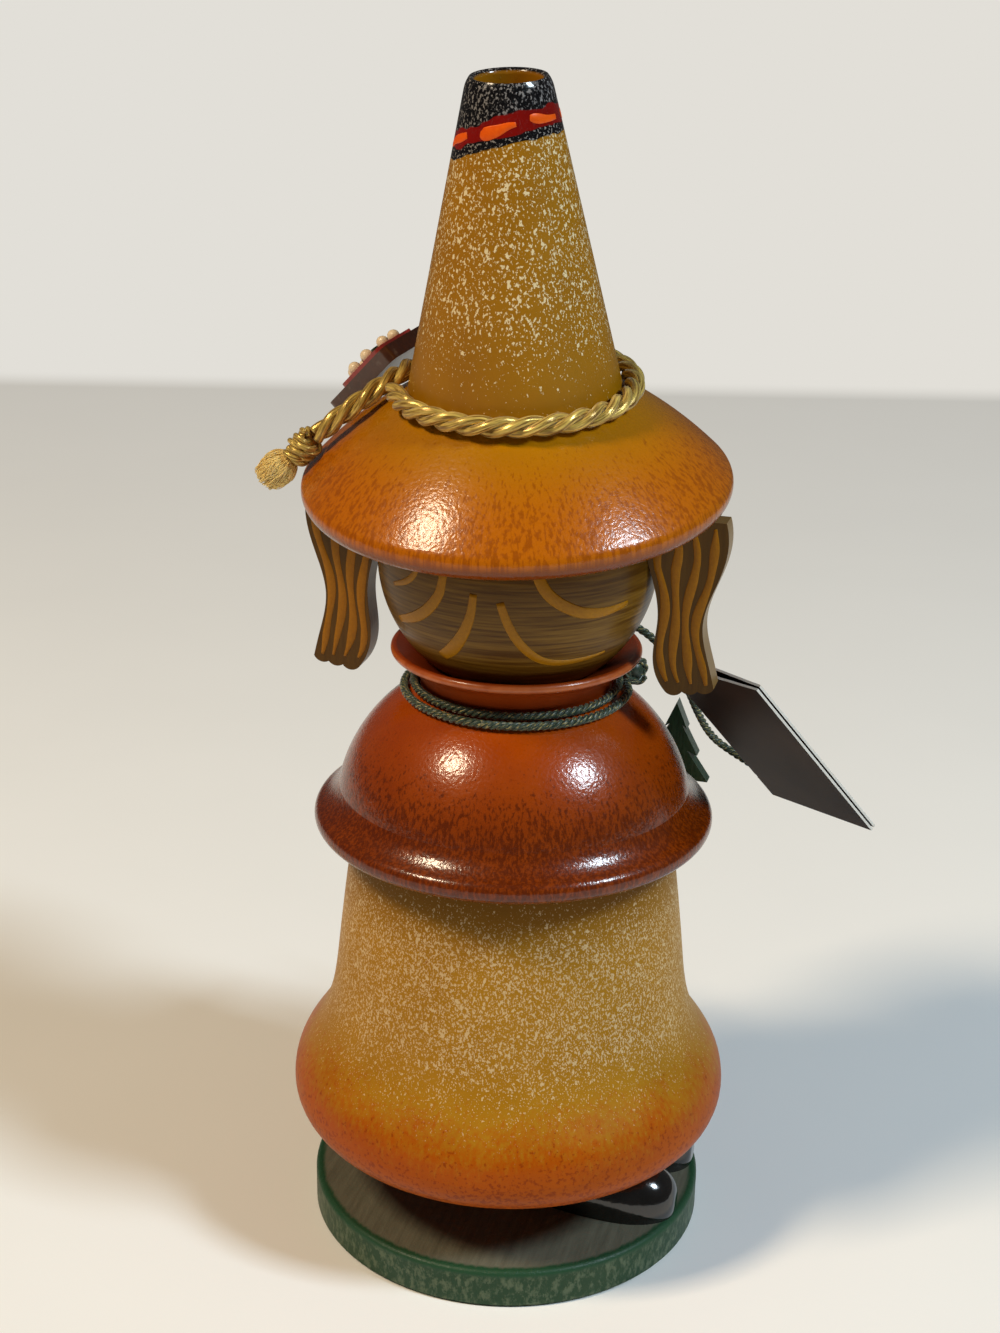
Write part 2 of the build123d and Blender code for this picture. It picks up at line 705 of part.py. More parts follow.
def brim_edges():
    """Outer edges of the brim, from the cone's seat to the foot of the rim."""
    rim = (BRIM_RADIUS - BRIM_ROUND, BRIM_HEIGHT)
    rim_top = on_round(rim, BRIM_ROUND, BRIM_TOP_ANGLE)
    rim_side = on_round(rim, BRIM_ROUND, 0)
    rim_foot = on_round(rim, BRIM_ROUND, -90)
    seat = (CONE_BASE_RADIUS, CONE_BASE_HEIGHT)
    crown = ThreePointArc(seat, (BRIM_CROWN_RADIUS, BRIM_CROWN_HEIGHT), rim_top)
    return crown, ThreePointArc(rim_top, rim_side, rim_foot)


def hat_brim():
    crown, rim = brim_edges()
    foot = BRIM_HEIGHT - BRIM_ROUND
    tenon_top = CONE_BASE_HEIGHT + TENON_HEIGHT
    brim = turned(
        crown,
        rim,
        *outline(
            (BRIM_RADIUS - BRIM_ROUND, foot),
            (HAT_BORE, foot),
            (HAT_BORE, tenon_top),
            (TENON_RADIUS, tenon_top),
            (TENON_RADIUS, CONE_BASE_HEIGHT),
            (CONE_BASE_RADIUS, CONE_BASE_HEIGHT),
        ),
    )
    return HAT_PLACE * (brim - HEAD_CENTRE * Sphere(HEAD_RADIUS + GLUE_GAP))


def hat_cone():
    socket = TENON_RADIUS + GLUE_GAP
    socket_top = CONE_BASE_HEIGHT + TENON_HEIGHT + GLUE_GAP
    throat = CONE_BASE_HEIGHT + (CONE_BASE_RADIUS - CONE_WALL - MOUTH_RADIUS) / CONE_TAPER
    shoulder = (CONE_TOP_RADIUS, CONE_TOP_HEIGHT)
    crest = (MOUTH_RADIUS + MOUTH_ROUND, CONE_CREST)
    lip = (MOUTH_RADIUS, CONE_CREST - MOUTH_ROUND)
    cavity_foot = (CONE_BASE_RADIUS - CONE_WALL - CONE_TAPER * (socket_top - CONE_BASE_HEIGHT), socket_top)
    cone = turned(
        Line((socket, CONE_BASE_HEIGHT), (CONE_BASE_RADIUS, CONE_BASE_HEIGHT)),
        Line((CONE_BASE_RADIUS, CONE_BASE_HEIGHT), shoulder),
        TangentArc(shoulder, crest, tangent=(-CONE_TAPER, 1)),
        RadiusArc(crest, lip, -MOUTH_ROUND),
        *outline(
            lip,
            (MOUTH_RADIUS, throat),
            cavity_foot,
            (socket, socket_top),
            (socket, CONE_BASE_HEIGHT),
        ),
    )
    return HAT_PLACE * cone


def hat_cord_ring():
    """Radius and height of the cord's middle where it lies on both the cone and the brim."""
    crown, _ = brim_edges()
    lift = HAT_CORD / 2 + CORD_GAP
    centre = crown.arc_center
    reach = crown.radius + lift
    cone_cosine = math.cos(math.atan(CONE_TAPER))
    height = CONE_BASE_HEIGHT
    for _ in range(40):
        radius = CONE_BASE_RADIUS - CONE_TAPER * (height - CONE_BASE_HEIGHT) + lift / cone_cosine
        height = centre.Y + math.sqrt(reach**2 - (radius - centre.X) ** 2)
    return radius, height


def hat_cord_tail():
    """Route of the cord's tail in the upright hat: along the ring's tangent, then out over the brim."""
    radius, height = hat_cord_ring()
    start = around(radius, HAT_CORD_END, height)
    way = along(HAT_CORD_END)
    out = [Vector(x, y, height - drop) for x, y, drop in HAT_TAIL_BENDS]
    return [start, start + way * 5.5, *out]


def hat_cord():
    radius, height = hat_cord_ring()
    turns = 4
    stations = []
    for i in range(turns + 1):
        azimuth = HAT_CORD_START + (HAT_CORD_END - HAT_CORD_START) * i / turns
        stations.append((around(radius, azimuth, height), along(azimuth)))
    first = stations[0][0]
    tail = hat_cord_tail()
    radii = corner_radii(tail)
    print("hat cord tail radii", [round(r, 1) for r in radii])
    lead = Line(first - along(HAT_CORD_START) * HAT_CORD, first)
    path = Wire([lead, *through_stations(stations), *FilletPolyline(*tail, radius=radii).edges()])
    print(f"hat cord least gap to itself {least_gap(path, HAT_CORD):.2f}")
    return HAT_PLACE * cord_tube("hat_cord", path, HAT_CORD)


def tail_plane(distance):
    """Plane across the tail, some way past the end of its route, in the upright hat."""
    tail = hat_cord_tail()
    way = (tail[-1] - tail[-2]).normalized()
    return Plane(tail[-1] + way * distance, z_dir=way)


def hat_knot():
    knot = barrel_knot(HAT_KNOT_RADIUS, HAT_KNOT_LENGTH, KNOT_WRAPS, HAT_CORD / 2)
    return HAT_PLACE * (tail_plane(HAT_KNOT_LENGTH / 2).location * knot)


def hat_tassel():
    """Frayed end of the cord, a tuft that swells from the knot."""
    widest = TASSEL_LENGTH * 0.55
    tuft = turned(
        round_quarter((TASSEL_NECK, 0), (TASSEL_RADIUS, widest)),
        round_quarter((TASSEL_NECK, TASSEL_LENGTH), (TASSEL_RADIUS, widest)),
        *outline((TASSEL_NECK, TASSEL_LENGTH), (0, TASSEL_LENGTH), (0, 0), (TASSEL_NECK, 0)),
    )
    return HAT_PLACE * (tail_plane(HAT_KNOT_LENGTH).location * tuft)


def tile_plane():
    """Plane of the tile's back, lying on the hat cord, with Y up the slope of the tile."""
    radius, height = hat_cord_ring()
    slope = math.radians(TILE_SLOPE)
    outward = around(1, TILE_AZIMUTH, 0)
    normal = outward * math.cos(slope) + Vector(0, 0, math.sin(slope))
    up_slope = Vector(0, 0, math.cos(slope)) - outward * math.sin(slope)
    touch = around(radius, TILE_AZIMUTH, height) + normal * (HAT_CORD / 2 + TILE_LIFT)
    down = (TILE_OUT - radius) / math.sin(slope)
    across = up_slope.cross(normal)
    return Plane(touch - up_slope * down - across * TILE_SHIFT, x_dir=across, z_dir=normal)


def hat_tile():
    back = extrude(RectangleRounded(TILE_SIDE, TILE_SIDE, TILE_ROUND), TILE_THICKNESS)
    return HAT_PLACE * (tile_plane().location * back)


def tile_icing():
    slab = extrude(RectangleRounded(ICING_SIDE, ICING_SIDE, TILE_ROUND), ICING_THICKNESS)
    return HAT_PLACE * (tile_plane().location * (Pos(0, 0, TILE_THICKNESS) * slab))


def tile_beads():
    """Drops of icing in a ring on the slab, cut flat where they sit."""
    floor = TILE_THICKNESS + ICING_THICKNESS
    beads = []
    for i in range(BEADS):
        place = around(BEAD_CIRCLE, (i + 0.5) * 360 / BEADS, floor + BEAD_RADIUS * 0.5)
        bead = Pos(*place) * Sphere(BEAD_RADIUS)
        bead -= drill(2 * BEAD_RADIUS, floor - 2 * BEAD_RADIUS, floor, place.X, place.Y)
        beads.append(HAT_PLACE * (tile_plane().location * bead))
    return Compound(children=beads)


def tile_leaves():
    """Two pointed leaves side by side in the middle of the slab."""
    floor = TILE_THICKNESS + ICING_THICKNESS
    half = LEAF_LENGTH / 2
    leaves = []
    for sign in (1, -1):
        edges = [
            ThreePointArc((-half, 0), (0, LEAF_HALF_WIDTH), (half, 0)),
            ThreePointArc((half, 0), (0, -LEAF_HALF_WIDTH), (-half, 0)),
        ]
        leaf = extrude(make_face(edges), BEAD_RADIUS)
        leaf = Pos(0, sign * LEAF_HALF_WIDTH * 1.3, floor) * Rot(0, 0, sign * 12) * leaf
        leaves.append(HAT_PLACE * (tile_plane().location * leaf))
    return Compound(children=leaves)


# Neck cord, tag cord and tag


def neck_turns():
    """Radius and height of the two turns of the neck cord, side by side on the dome."""
    reach = DOME_RADIUS + NECK_CORD / 2 + CORD_GAP
    first = COLLAR_FOOT_RADIUS + NECK_CORD / 2 + CORD_GAP + 0.05
    angle = math.acos((first - DOME_CENTRE) / reach)
    angle -= (NECK_CORD + NECK_CORD_TURN_GAP) / reach
    second = DOME_CENTRE + reach * math.cos(angle)
    offset_out = NECK_CORD / 2 + CORD_GAP
    return (first, dome_height(first, offset_out)), (second, dome_height(second, offset_out))


def neck_cord():
    """Two level turns with one crossing behind the knot."""
    (first, first_height), (second, second_height) = neck_turns()
    reach = 24
    start, end = NECK_KNOT_AZIMUTH + reach, NECK_KNOT_AZIMUTH + 360 - reach
    quarters = 4
    stations = []
    for lap, (radius, height) in enumerate([(first, first_height), (second, second_height)]):
        for i in range(quarters + 1):
            azimuth = start + (end - start) * i / quarters + 360 * lap
            stations.append((around(radius, azimuth, height), along(azimuth)))
    head_end, tail_end = stations[0], stations[-1]
    lead = Line(head_end[0] - head_end[1] * NECK_CORD, head_end[0])
    run_out = Line(tail_end[0], tail_end[0] + tail_end[1] * NECK_CORD)
    path = Wire([lead, *through_stations(stations), run_out])
    print(f"neck cord least gap to itself {least_gap(path, NECK_CORD):.2f}")
    return cord_tube("neck_cord", path, NECK_CORD)


def knot_place(azimuth, radius):
    """Place of a knot beside the outer turn of the neck cord, its length along the turn."""
    turn, _ = neck_turns()[1]
    distance = turn + NECK_CORD / 2 + CORD_GAP + radius
    point = around(distance, azimuth, dome_height(distance, radius + CORD_GAP))
    return Plane(point, x_dir=around(1, azimuth, 0), z_dir=along(azimuth))


def neck_knot():
    knot = barrel_knot(NECK_KNOT_RADIUS, NECK_KNOT_LENGTH, KNOT_WRAPS, NECK_CORD)
    return knot_place(NECK_KNOT_AZIMUTH, NECK_KNOT_RADIUS).location * knot


def tag_knot():
    knot = barrel_knot(TAG_KNOT_RADIUS, TAG_KNOT_LENGTH, KNOT_WRAPS, NECK_CORD / 2)
    return knot_place(TAG_KNOT_AZIMUTH, TAG_KNOT_RADIUS).location * knot


def tag_plane():
    """Plane at the upper end of the tag's fold: X across the card, Z down the fold."""
    x, y, rise = TAG_CORNER
    return Plane(Vector(x, y, COLLAR_FOOT + rise), x_dir=TAG_ACROSS, z_dir=TAG_DOWN)


def tag_cord_route():
    """From the knot up and out past the collar, down beside the card and into the notch of its fold."""
    knot = knot_place(TAG_KNOT_AZIMUTH, TAG_KNOT_RADIUS).origin
    card = tag_plane()
    return [
        knot + Vector(0, 0, TAG_KNOT_RADIUS + CORD_GAP),
        *(Vector(x, y, COLLAR_FOOT + rise) for x, y, rise in TAG_CORD_BENDS),
        card.from_local_coords(Vector(-2.0, 0, TAG_NOTCH - 1.0)),
        card.from_local_coords(Vector(0.9, 0, TAG_NOTCH + 0.6)),
    ]


def tag_cord():
    route = tag_cord_route()
    radii = corner_radii(route)
    print("tag cord radii", [round(r, 1) for r in radii])
    path = FilletPolyline(*route, radius=radii).wire()
    return cord_tube("tag_cord", path, NECK_CORD)


def leaf_edges(sign):
    """Outer face, free edge and inner face of one leaf of the card, on either side of the fold."""
    free_inner = sign * TAG_FREE_GAP / 2
    free_outer = sign * (TAG_FREE_GAP / 2 + TAG_LEAF)
    fold_inner = sign * (TAG_SPINE_RADIUS - TAG_LEAF)
    fold_outer = sign * TAG_SPINE_RADIUS
    return outline((0, fold_outer), (TAG_WIDTH, free_outer), (TAG_WIDTH, free_inner), (0, fold_inner))


def hang_tag():
    """Folded card: two leaves from a round fold, with a notch in the fold for the cord."""
    inner = TAG_SPINE_RADIUS - TAG_LEAF
    section = make_face(
        [
            ThreePointArc((0, -TAG_SPINE_RADIUS), (-TAG_SPINE_RADIUS, 0), (0, TAG_SPINE_RADIUS)),
            *leaf_edges(1),
            ThreePointArc((0, inner), (-inner, 0), (0, -inner)),
            *leaf_edges(-1),
        ]
    )
    card = extrude(section, TAG_LENGTH)
    notch = Rot(0, 90, 0) * Cylinder(TAG_NOTCH_RADIUS, 2 * TAG_SPINE_RADIUS)
    card -= Pos(-TAG_SPINE_RADIUS, 0, TAG_NOTCH) * notch
    return tag_plane().location * card


PIECES = {
    "base": base(),
    "left_shoe": shoe("left"),
    "right_shoe": shoe("right"),
    "left_leg": leg("left"),
    "right_leg": leg("right"),
    "skirt": skirt(),
    "incense_cup": incense_cup(),
    "incense_plate": incense_plate(),
    "plate_nails": plate_nails(),
    "seat_ring": seat_ring(),
    "cape": cape(),
    "collar": collar(),
    "neck_tube": neck_tube(),
    "head": head(),
    "nose": nose(),
    "left_hair": hair(1, LEFT_HAIR_RATIO),
    "right_hair": hair(-1, 1.0),
    "hair_pins": hair_pins(),
    "left_arm": arm(1),
    "right_arm": arm(-1),
    "left_hand": hand(1),
    "right_hand": hand(-1),
    "fir_tree": fir_tree(),
    "tree_trunk": tree_trunk(),
    "hat_brim": hat_brim(),
    "hat_cone": hat_cone(),
    "hat_cord": hat_cord(),
    "hat_knot": hat_knot(),
    "hat_tassel": hat_tassel(),
    "hat_tile": hat_tile(),
    "tile_icing": tile_icing(),
    "tile_beads": tile_beads(),
    "tile_leaves": tile_leaves(),
    "neck_cord": neck_cord(),
    "neck_knot": neck_knot(),
    "tag_knot": tag_knot(),
    "tag_cord": tag_cord(),
    "hang_tag": hang_tag(),
}

os.makedirs("parts", exist_ok=True)
for name, piece in PIECES.items():
    export_step(piece, f"parts/{name}.step")
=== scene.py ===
"""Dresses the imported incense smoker: camera, stage, lamps, cords, painted marks and finishes."""

import math
import random

import bmesh
import bpy
from mathutils import Matrix, Vector


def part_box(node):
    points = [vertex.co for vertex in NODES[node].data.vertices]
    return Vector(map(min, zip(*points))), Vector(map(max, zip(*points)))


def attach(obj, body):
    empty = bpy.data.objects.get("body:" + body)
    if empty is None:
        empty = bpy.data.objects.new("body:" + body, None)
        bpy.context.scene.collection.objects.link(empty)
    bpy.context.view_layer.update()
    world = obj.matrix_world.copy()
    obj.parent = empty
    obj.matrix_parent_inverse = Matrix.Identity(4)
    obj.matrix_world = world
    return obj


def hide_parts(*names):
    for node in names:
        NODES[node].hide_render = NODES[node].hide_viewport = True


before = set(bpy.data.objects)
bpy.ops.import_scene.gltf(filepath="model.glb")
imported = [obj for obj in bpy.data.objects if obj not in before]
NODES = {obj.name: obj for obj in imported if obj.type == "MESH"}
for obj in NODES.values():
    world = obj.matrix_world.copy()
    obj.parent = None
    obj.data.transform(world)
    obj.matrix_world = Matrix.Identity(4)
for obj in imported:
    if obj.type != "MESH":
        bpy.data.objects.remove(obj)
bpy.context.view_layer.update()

MM = 0.001
UP = Vector((0, 0, 1))

# Places and sizes below are millimetres in the part's frame, and angles are degrees,
# with azimuths counted from +X towards +Y.

# Camera, behind the figure and a little to its right
CAMERA_PLACE = (-77.45, 288.9, 209.16)
CAMERA_TURN = 15.5
CAMERA_PITCH = 20.41
CAMERA_ROLL = 0.95
CAMERA_LENS = 54.0
SENSOR_HEIGHT = 36.0
CAMERA_NEAREST = 10

# Stage and lamps, placed to the right of, away from and above the figure as the camera sees it.
# From FLOOR_LIGHT_START on, painted light makes the floor paler, by up to FLOOR_LIGHT_SHARE.
# From FLOOR_FADE on, it goes over into the wall.
FLOOR_NEAR = -900
FLOOR_FAR = 668
FLOOR_HALF_WIDTH = 1400
FLOOR_ROWS = 12
FLOOR_LIGHT_START = 100
FLOOR_LIGHT_SHARE = 0.35
FLOOR_FADE = 610
LAMP_AIM = 80
LAMP_SIZE = 230
WARM_LAMP = (-690, -345, 1040)
WARM_WATTS = 10.9
COOL_LAMP = (770, -390, 920)
COOL_WATTS = 10.6
ROOM_STRENGTH = 0.07

# Solids that painted marks lie on
HEAD_CENTRE = 116.8
HEAD_RADIUS = 22.0
HAT_TILT = 8.0
CONE_FOOT_RADIUS = 16.35
CONE_FOOT = 143.6
CONE_TOP_RADIUS = 6.35
CONE_TOP = 188.3
CONE_SLOPE = (CONE_TOP_RADIUS - CONE_FOOT_RADIUS) / (CONE_TOP - CONE_FOOT)
BAND_AZIMUTH = 150
BAND_SLANT = 0.33

# Zones over which paint changes, from one value to another: heights, unless the name says otherwise
CONE_FLECKS = (146.0, 157.0)
CONE_WALL_DEPTH = (1.35, 1.6)
HAT_RIM_BAND = (180.25, 180.45)
HAT_RED_BAND = (181.65, 181.85)
HAT_TIP_BAND = (184.3, 184.5)
HAT_GLOSS = (180.2, 180.5)
BRIM_EDGE_RADIUS = (17.0, 30.5)
BRIM_UNDERSIDE = (130.2, 128.4)
CAPE_FALL = (96.0, 77.0)
COLLAR_LIP_RADIUS = (19.5, 20.0)
FACE_EDGE_Y = (-3.0, -3.6)
SKIRT_FLECKS = (27.0, 42.0)
SKIRT_FLECKS_END = (61.0, 71.0)
SKIRT_PAINTED_SHADE = (56.0, 71.0)
SKIRT_ORANGE = (37.0, 26.0)
SKIRT_STAIN = (36.0, 20.0)
SKIRT_GLOSS = (22.0, 40.0)
BASE_TOP_BAND = (5.2, 6.2)
BASE_RIM_RADIUS = (32.0, 32.9)

# Radius of the drum that the brim's stain is laid out on
BRIM_STAIN_DRUM = 26.0

# Gold cord round the hat, in the hat's own upright frame
HAT_CORD_DIAMETER = 3.2
HAT_CORD_PITCH = 11.4
HAT_CORD_STEP = 0.35
HAT_RING_RADIUS = 17.931
HAT_RING_HEIGHT = 144.776
HAT_RING_START = 32
HAT_RING_END = 346
HAT_TAIL = [
    (18.729, 0.999, 144.776),
    (21.8, 5.6, 142.896),
    (26.2, 7.4, 139.596),
    (29.2, 7.9, 136.996),
]
HAT_TAIL_DIRECTION = (0.749766, 0.124961, -0.649797)
HAT_KNOT = {
    "centre": (31.299, 8.25, 135.177),
    "axis": HAT_TAIL_DIRECTION,
    "radius": 2.55,
    "length": 5.6,
    "wraps": 3,
    "thread": 1.9,
}
TASSEL_START = (33.399, 8.6, 133.358)
TASSEL_LENGTH = 5.4
TASSEL_RADIUS = 2.5
TASSEL_NECK = 1.3
TASSEL_CORE = 0.86
TASSEL_SEED = 7
FIBRES = 520
FIBRE_RADIUS = 0.085
FIBRE_STEP = 0.35

# Green cord round the neck and down to the tag
NECK_CORD_DIAMETER = 1.4
NECK_CORD_PITCH = 3.4
NECK_CORD_STEP = 0.25
NECK_TURNS = [(16.25, 95.812), (17.886, 94.846)]
NECK_START = 246
NECK_LAP = 312
NECK_KNOT = {
    "centre": (-15.818, -14.243, 94.617),
    "axis": (0.669131, -0.743145, 0),
    "radius": 2.5,
    "length": 5.6,
    "wraps": 4,
    "thread": 1.4,
}
TAG_KNOT = {
    "centre": (-7.58, -18.762, 94.107),
    "axis": (0.927184, -0.374607, 0),
    "radius": 1.45,
    "length": 3.2,
    "wraps": 3,
    "thread": 1.0,
}
TAG_CORD_ROUTE = [
    (-7.58, -18.762, 95.757),
    (-9.0, -19.8, 98.396),
    (-11.8, -19.4, 100.396),
    (-15.2, -18.3, 100.496),
    (-18.4, -18.6, 98.596),
    (-21.0, -21.0, 94.396),
    (-23.6, -23.8, 88.596),
    (-25.4, -26.8, 82.396),
    (-27.4, -29.6, 77.596),
    (-30.4, -30.5, 75.196),
    (-34.548, -29.016, 73.717),
    (-37.464, -27.744, 72.796),
]
TAG_OUTWARD = (0.468113, 0.609383, -0.639939)

# Wraps of a knot: points in a turn, pitch of the thread's twist in its diameters, spacing of points
WRAP_POINTS = 24
WRAP_TWIST = 3.4
WRAP_STEP = 0.25

# Brush strokes: how far they stand out of and reach into the wood, and their least width
STROKE_LIFT = 0.07
STROKE_SUNK = 0.04
STROKE_LEAST = 0.1
SPOT_STEPS = 8

# Face: turn from its middle and height, then the width in degrees and the height of a spot,
# or the width of a stroke
FACE_AZIMUTH = 270
EYE = (19, 119.5, 5.2, 3.0)
CHEEK = (31, 112.5, 13.0, 4.6)
BROW = [(13, 124.0, 0.4), (19, 125.0, 0.7), (26, 123.8, 0.4)]
MOUTH = [(-12, 109.4, 0.4), (-6, 107.9, 0.9), (0, 107.4, 1.0), (6, 107.9, 0.9), (12, 109.4, 0.4)]

# Dabs on the side of the hat's band that the photo doesn't show
DAB_STARTS = (190, 245, 300)
DAB_ARC = 40
DAB_HEIGHT = 183.0
DAB_LEAN = 2.4

# Stripes on the hair: STRIPES and STRIPE_SWAY are shares of a board's width
STRIPES = (0.14, 0.38, 0.62, 0.86)
STRIPE_STEPS = 16
STRIPE_TOP_GAP = 1.0
STRIPE_FOOT_GAP = 2.2
STRIPE_WIDTH = 1.4
STRIPE_SWELL = 0.25
STRIPE_SWAY = 0.022

PIVOT = Matrix.Translation(UP * HEAD_CENTRE)
HAT = PIVOT @ Matrix.Rotation(math.radians(-HAT_TILT), 4, "X") @ PIVOT.inverted()


def turned_to(azimuth):
    """Unit vector towards an azimuth."""
    angle = math.radians(azimuth)
    return Vector((math.cos(angle), math.sin(angle), 0))


def around(radius, azimuth, height):
    """Point at a distance from the axis, an azimuth and a height."""
    return turned_to(azimuth) * radius + UP * height


IMAGE_RIGHT = -turned_to(CAMERA_TURN)
IMAGE_AWAY = UP.cross(IMAGE_RIGHT)


def seen_at(right, away, up):
    """Point in metres, counted as the camera sees the stage."""
    return (IMAGE_RIGHT * right + IMAGE_AWAY * away + UP * up) * MM


def srgb(red, green, blue):
    """Linear colour from screen values of 0 to 255."""

    def linear(value):
        value /= 255
        return value / 12.92 if value <= 0.04045 else ((value + 0.055) / 1.055) ** 2.4

    return (linear(red), linear(green), linear(blue), 1.0)


WALL = srgb(226, 223, 216)
ROOM_LIGHT = srgb(250, 246, 240)
WARM_LIGHT = srgb(255, 233, 200)
COOL_LIGHT = srgb(224, 242, 255)


def place_camera():
    pitch = math.radians(CAMERA_PITCH)
    forward = IMAGE_AWAY * math.cos(pitch) - UP * math.sin(pitch)
    level_up = IMAGE_RIGHT.cross(forward)
    roll = Matrix.Rotation(math.radians(-CAMERA_ROLL), 3, forward)
    right = roll @ IMAGE_RIGHT
    up = roll @ level_up
    lens = bpy.data.cameras.new("camera")
    lens.sensor_fit = "VERTICAL"
    lens.sensor_height = SENSOR_HEIGHT
    lens.lens = CAMERA_LENS
    lens.clip_start = CAMERA_NEAREST * MM
    camera = bpy.data.objects.new("camera", lens)
    bpy.context.collection.objects.link(camera)
    pose = Matrix((right, up, -forward)).transposed().to_4x4()
    camera.matrix_world = Matrix.Translation(Vector(CAMERA_PLACE) * MM) @ pose
    bpy.context.scene.camera = camera


def new_piece(name, shape, material):
    """Links a finished bmesh as a smooth object with one material."""
    mesh = bpy.data.meshes.new(name)
    bmesh.ops.recalc_face_normals(shape, faces=shape.faces)
    shape.to_mesh(mesh)
    shape.free()
    for face in mesh.polygons:
        face.use_smooth = True
    mesh.materials.append(material)
    piece = bpy.data.objects.new(name, mesh)
    bpy.context.collection.objects.link(piece)
    return piece


def upper_piece(name, shape, material):
    """A piece that rides on the upper half."""
    piece = new_piece(name, shape, material)
    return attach(piece, "upper_body")


class Paint:
    """A node material built in code, with places in millimetres on the object."""

    def __init__(self, name, tilt=0.0):
        self.material = bpy.data.materials.new(name)
        self.material.use_nodes = True
        self.tree = self.material.node_tree
        self.shader = self.tree.nodes["Principled BSDF"]
        source = self.tree.nodes.new("ShaderNodeTexCoord")
        self.uv = source.outputs["UV"]
        self.facing = source.outputs["Normal"]
        self.place = self.scaled(source.outputs["Object"], (1 / MM, 1 / MM, 1 / MM))
        if tilt:
            self.place = self.add(
                "ShaderNodeVectorRotate",
                {"Vector": self.place, "Center": (0, 0, HEAD_CENTRE), "Angle": math.radians(tilt)},
                rotation_type="X_AXIS",
            ).outputs[0]
        parts = self.add("ShaderNodeSeparateXYZ", {"Vector": self.place}).outputs
        self.y = parts["Y"]
        self.height = parts["Z"]
        self.flat = self.scaled(self.place, (1, 1, 0))
        self.radius = self.add(
            "ShaderNodeVectorMath", {"Vector": self.flat}, operation="LENGTH"
        ).outputs["Value"]

    def add(self, kind, values, **settings):
        """New node with its settings, and its named inputs linked or set."""
        node = self.tree.nodes.new(kind)
        for setting, value in settings.items():
            setattr(node, setting, value)
        for name, value in values.items():
            self.fill(node.inputs[name], value)
        return node

    def fill(self, socket, value):
        if isinstance(value, bpy.types.NodeSocket):
            self.tree.links.new(value, socket)
        else:
            socket.default_value = value

    def scaled(self, vector, factors):
        return self.add(
            "ShaderNodeVectorMath", {0: vector, 1: factors}, operation="MULTIPLY"
        ).outputs[0]

    def dot(self, vector, direction):
        return self.add(
            "ShaderNodeVectorMath", {0: vector, 1: direction}, operation="DOT_PRODUCT"
        ).outputs["Value"]

    def reckon(self, operation, first, second=0.0):
        return self.add("ShaderNodeMath", {0: first, 1: second}, operation=operation).outputs[0]

    def sum(self, first, second):
        return self.reckon("ADD", first, second)

    def times(self, first, second):
        return self.reckon("MULTIPLY", first, second)

    def step(self, value, low, high):
        """0 where value is at low and 1 where it is at high, smooth between."""
        values = {"Value": value, "From Min": low, "From Max": high}
        return self.add("ShaderNodeMapRange", values, interpolation_type="SMOOTHSTEP").outputs[0]

    def blend(self, value, low, high, first, last):
        """Number that goes from first to last as value goes from low to high."""
        values = {"Value": value, "From Min": low, "From Max": high, "To Min": first, "To Max": last}
        return self.add("ShaderNodeMapRange", values).outputs[0]

    def swing(self, noise, first, last):
        """Number that goes from first to last over the range that most of a noise lies in."""
        return self.blend(noise, 0.3, 0.7, first, last)

    def spread(self, reach):
        """Place laid out on a drum of radius reach, with the distance from the axis as its height."""
        way = self.add("ShaderNodeVectorMath", {"Vector": self.flat}, operation="NORMALIZE").outputs[0]
        out = self.add("ShaderNodeCombineXYZ", {"Z": self.radius}).outputs[0]
        values = {0: self.scaled(way, (reach, reach, 0)), 1: out}
        return self.add("ShaderNodeVectorMath", values, operation="ADD").outputs[0]

    def noise(self, size, detail=2.0, rough=0.5, stretch=(1, 1, 1), place=None):
        """Even noise about 0.5 whose features are about size across, longer where stretched."""
        factors = [1 / (size * share) for share in stretch]
        vector = self.scaled(place or self.place, factors)
        values = {"Vector": vector, "Scale": 1.0, "Detail": detail, "Roughness": rough}
        return self.add("ShaderNodeTexNoise", values).outputs["Fac"]

    def specks(self, size, level, soft=0.03, **shape):
        """1 inside small flecks where noise rises over level."""
        values = self.noise(size, **shape)
        return self.step(values, level, self.sum(level, soft))

    def mix(self, share, first, second):
        node = self.add("ShaderNodeMix", {0: share}, data_type="RGBA")
        self.fill(node.inputs[6], first)
        self.fill(node.inputs[7], second)
        return node.outputs[2]

    def finish(self, colour, rough, relief=None, depth=0.05, gloss=0.5, **shader):
        """Sets the surface: relief is a height of 0 to 1 that stands depth millimetres tall."""
        self.fill(self.shader.inputs["Base Color"], colour)
        self.fill(self.shader.inputs["Roughness"], rough)
        self.fill(self.shader.inputs["Specular IOR Level"], gloss)
        if relief is not None:
            values = {"Strength": 1.0, "Distance": depth * MM, "Height": relief}
            bump = self.add("ShaderNodeBump", values).outputs[0]
            self.fill(self.shader.inputs["Normal"], bump)
            self.fill(self.shader.inputs["Coat Normal"], bump)
        for name, value in shader.items():
            self.fill(self.shader.inputs[name.replace("_", " ").title()], value)
        return self.material


def dress(material, *names):
    """Gives CAD nodes their finish."""
    for name in names:
        NODES[name].data.materials.clear()
        NODES[name].data.materials.append(material)


# Finishes


def cream_specks(paint, level, size):
    """Sponged cream flecks of a size and of twice that, denser where level is low."""
    cloud = paint.noise(size=5.0, detail=1.0)
    level = paint.sum(level, paint.swing(cloud, 0.014, -0.014))
    fine = paint.specks(size, level, soft=0.05, stretch=(1, 1, 1.5), detail=2.5, rough=0.6)
    coarse = paint.specks(size * 2, paint.sum(level, 0.05), stretch=(1, 1, 1.3), detail=2.0)
    return paint.reckon("MAXIMUM", fine, coarse)


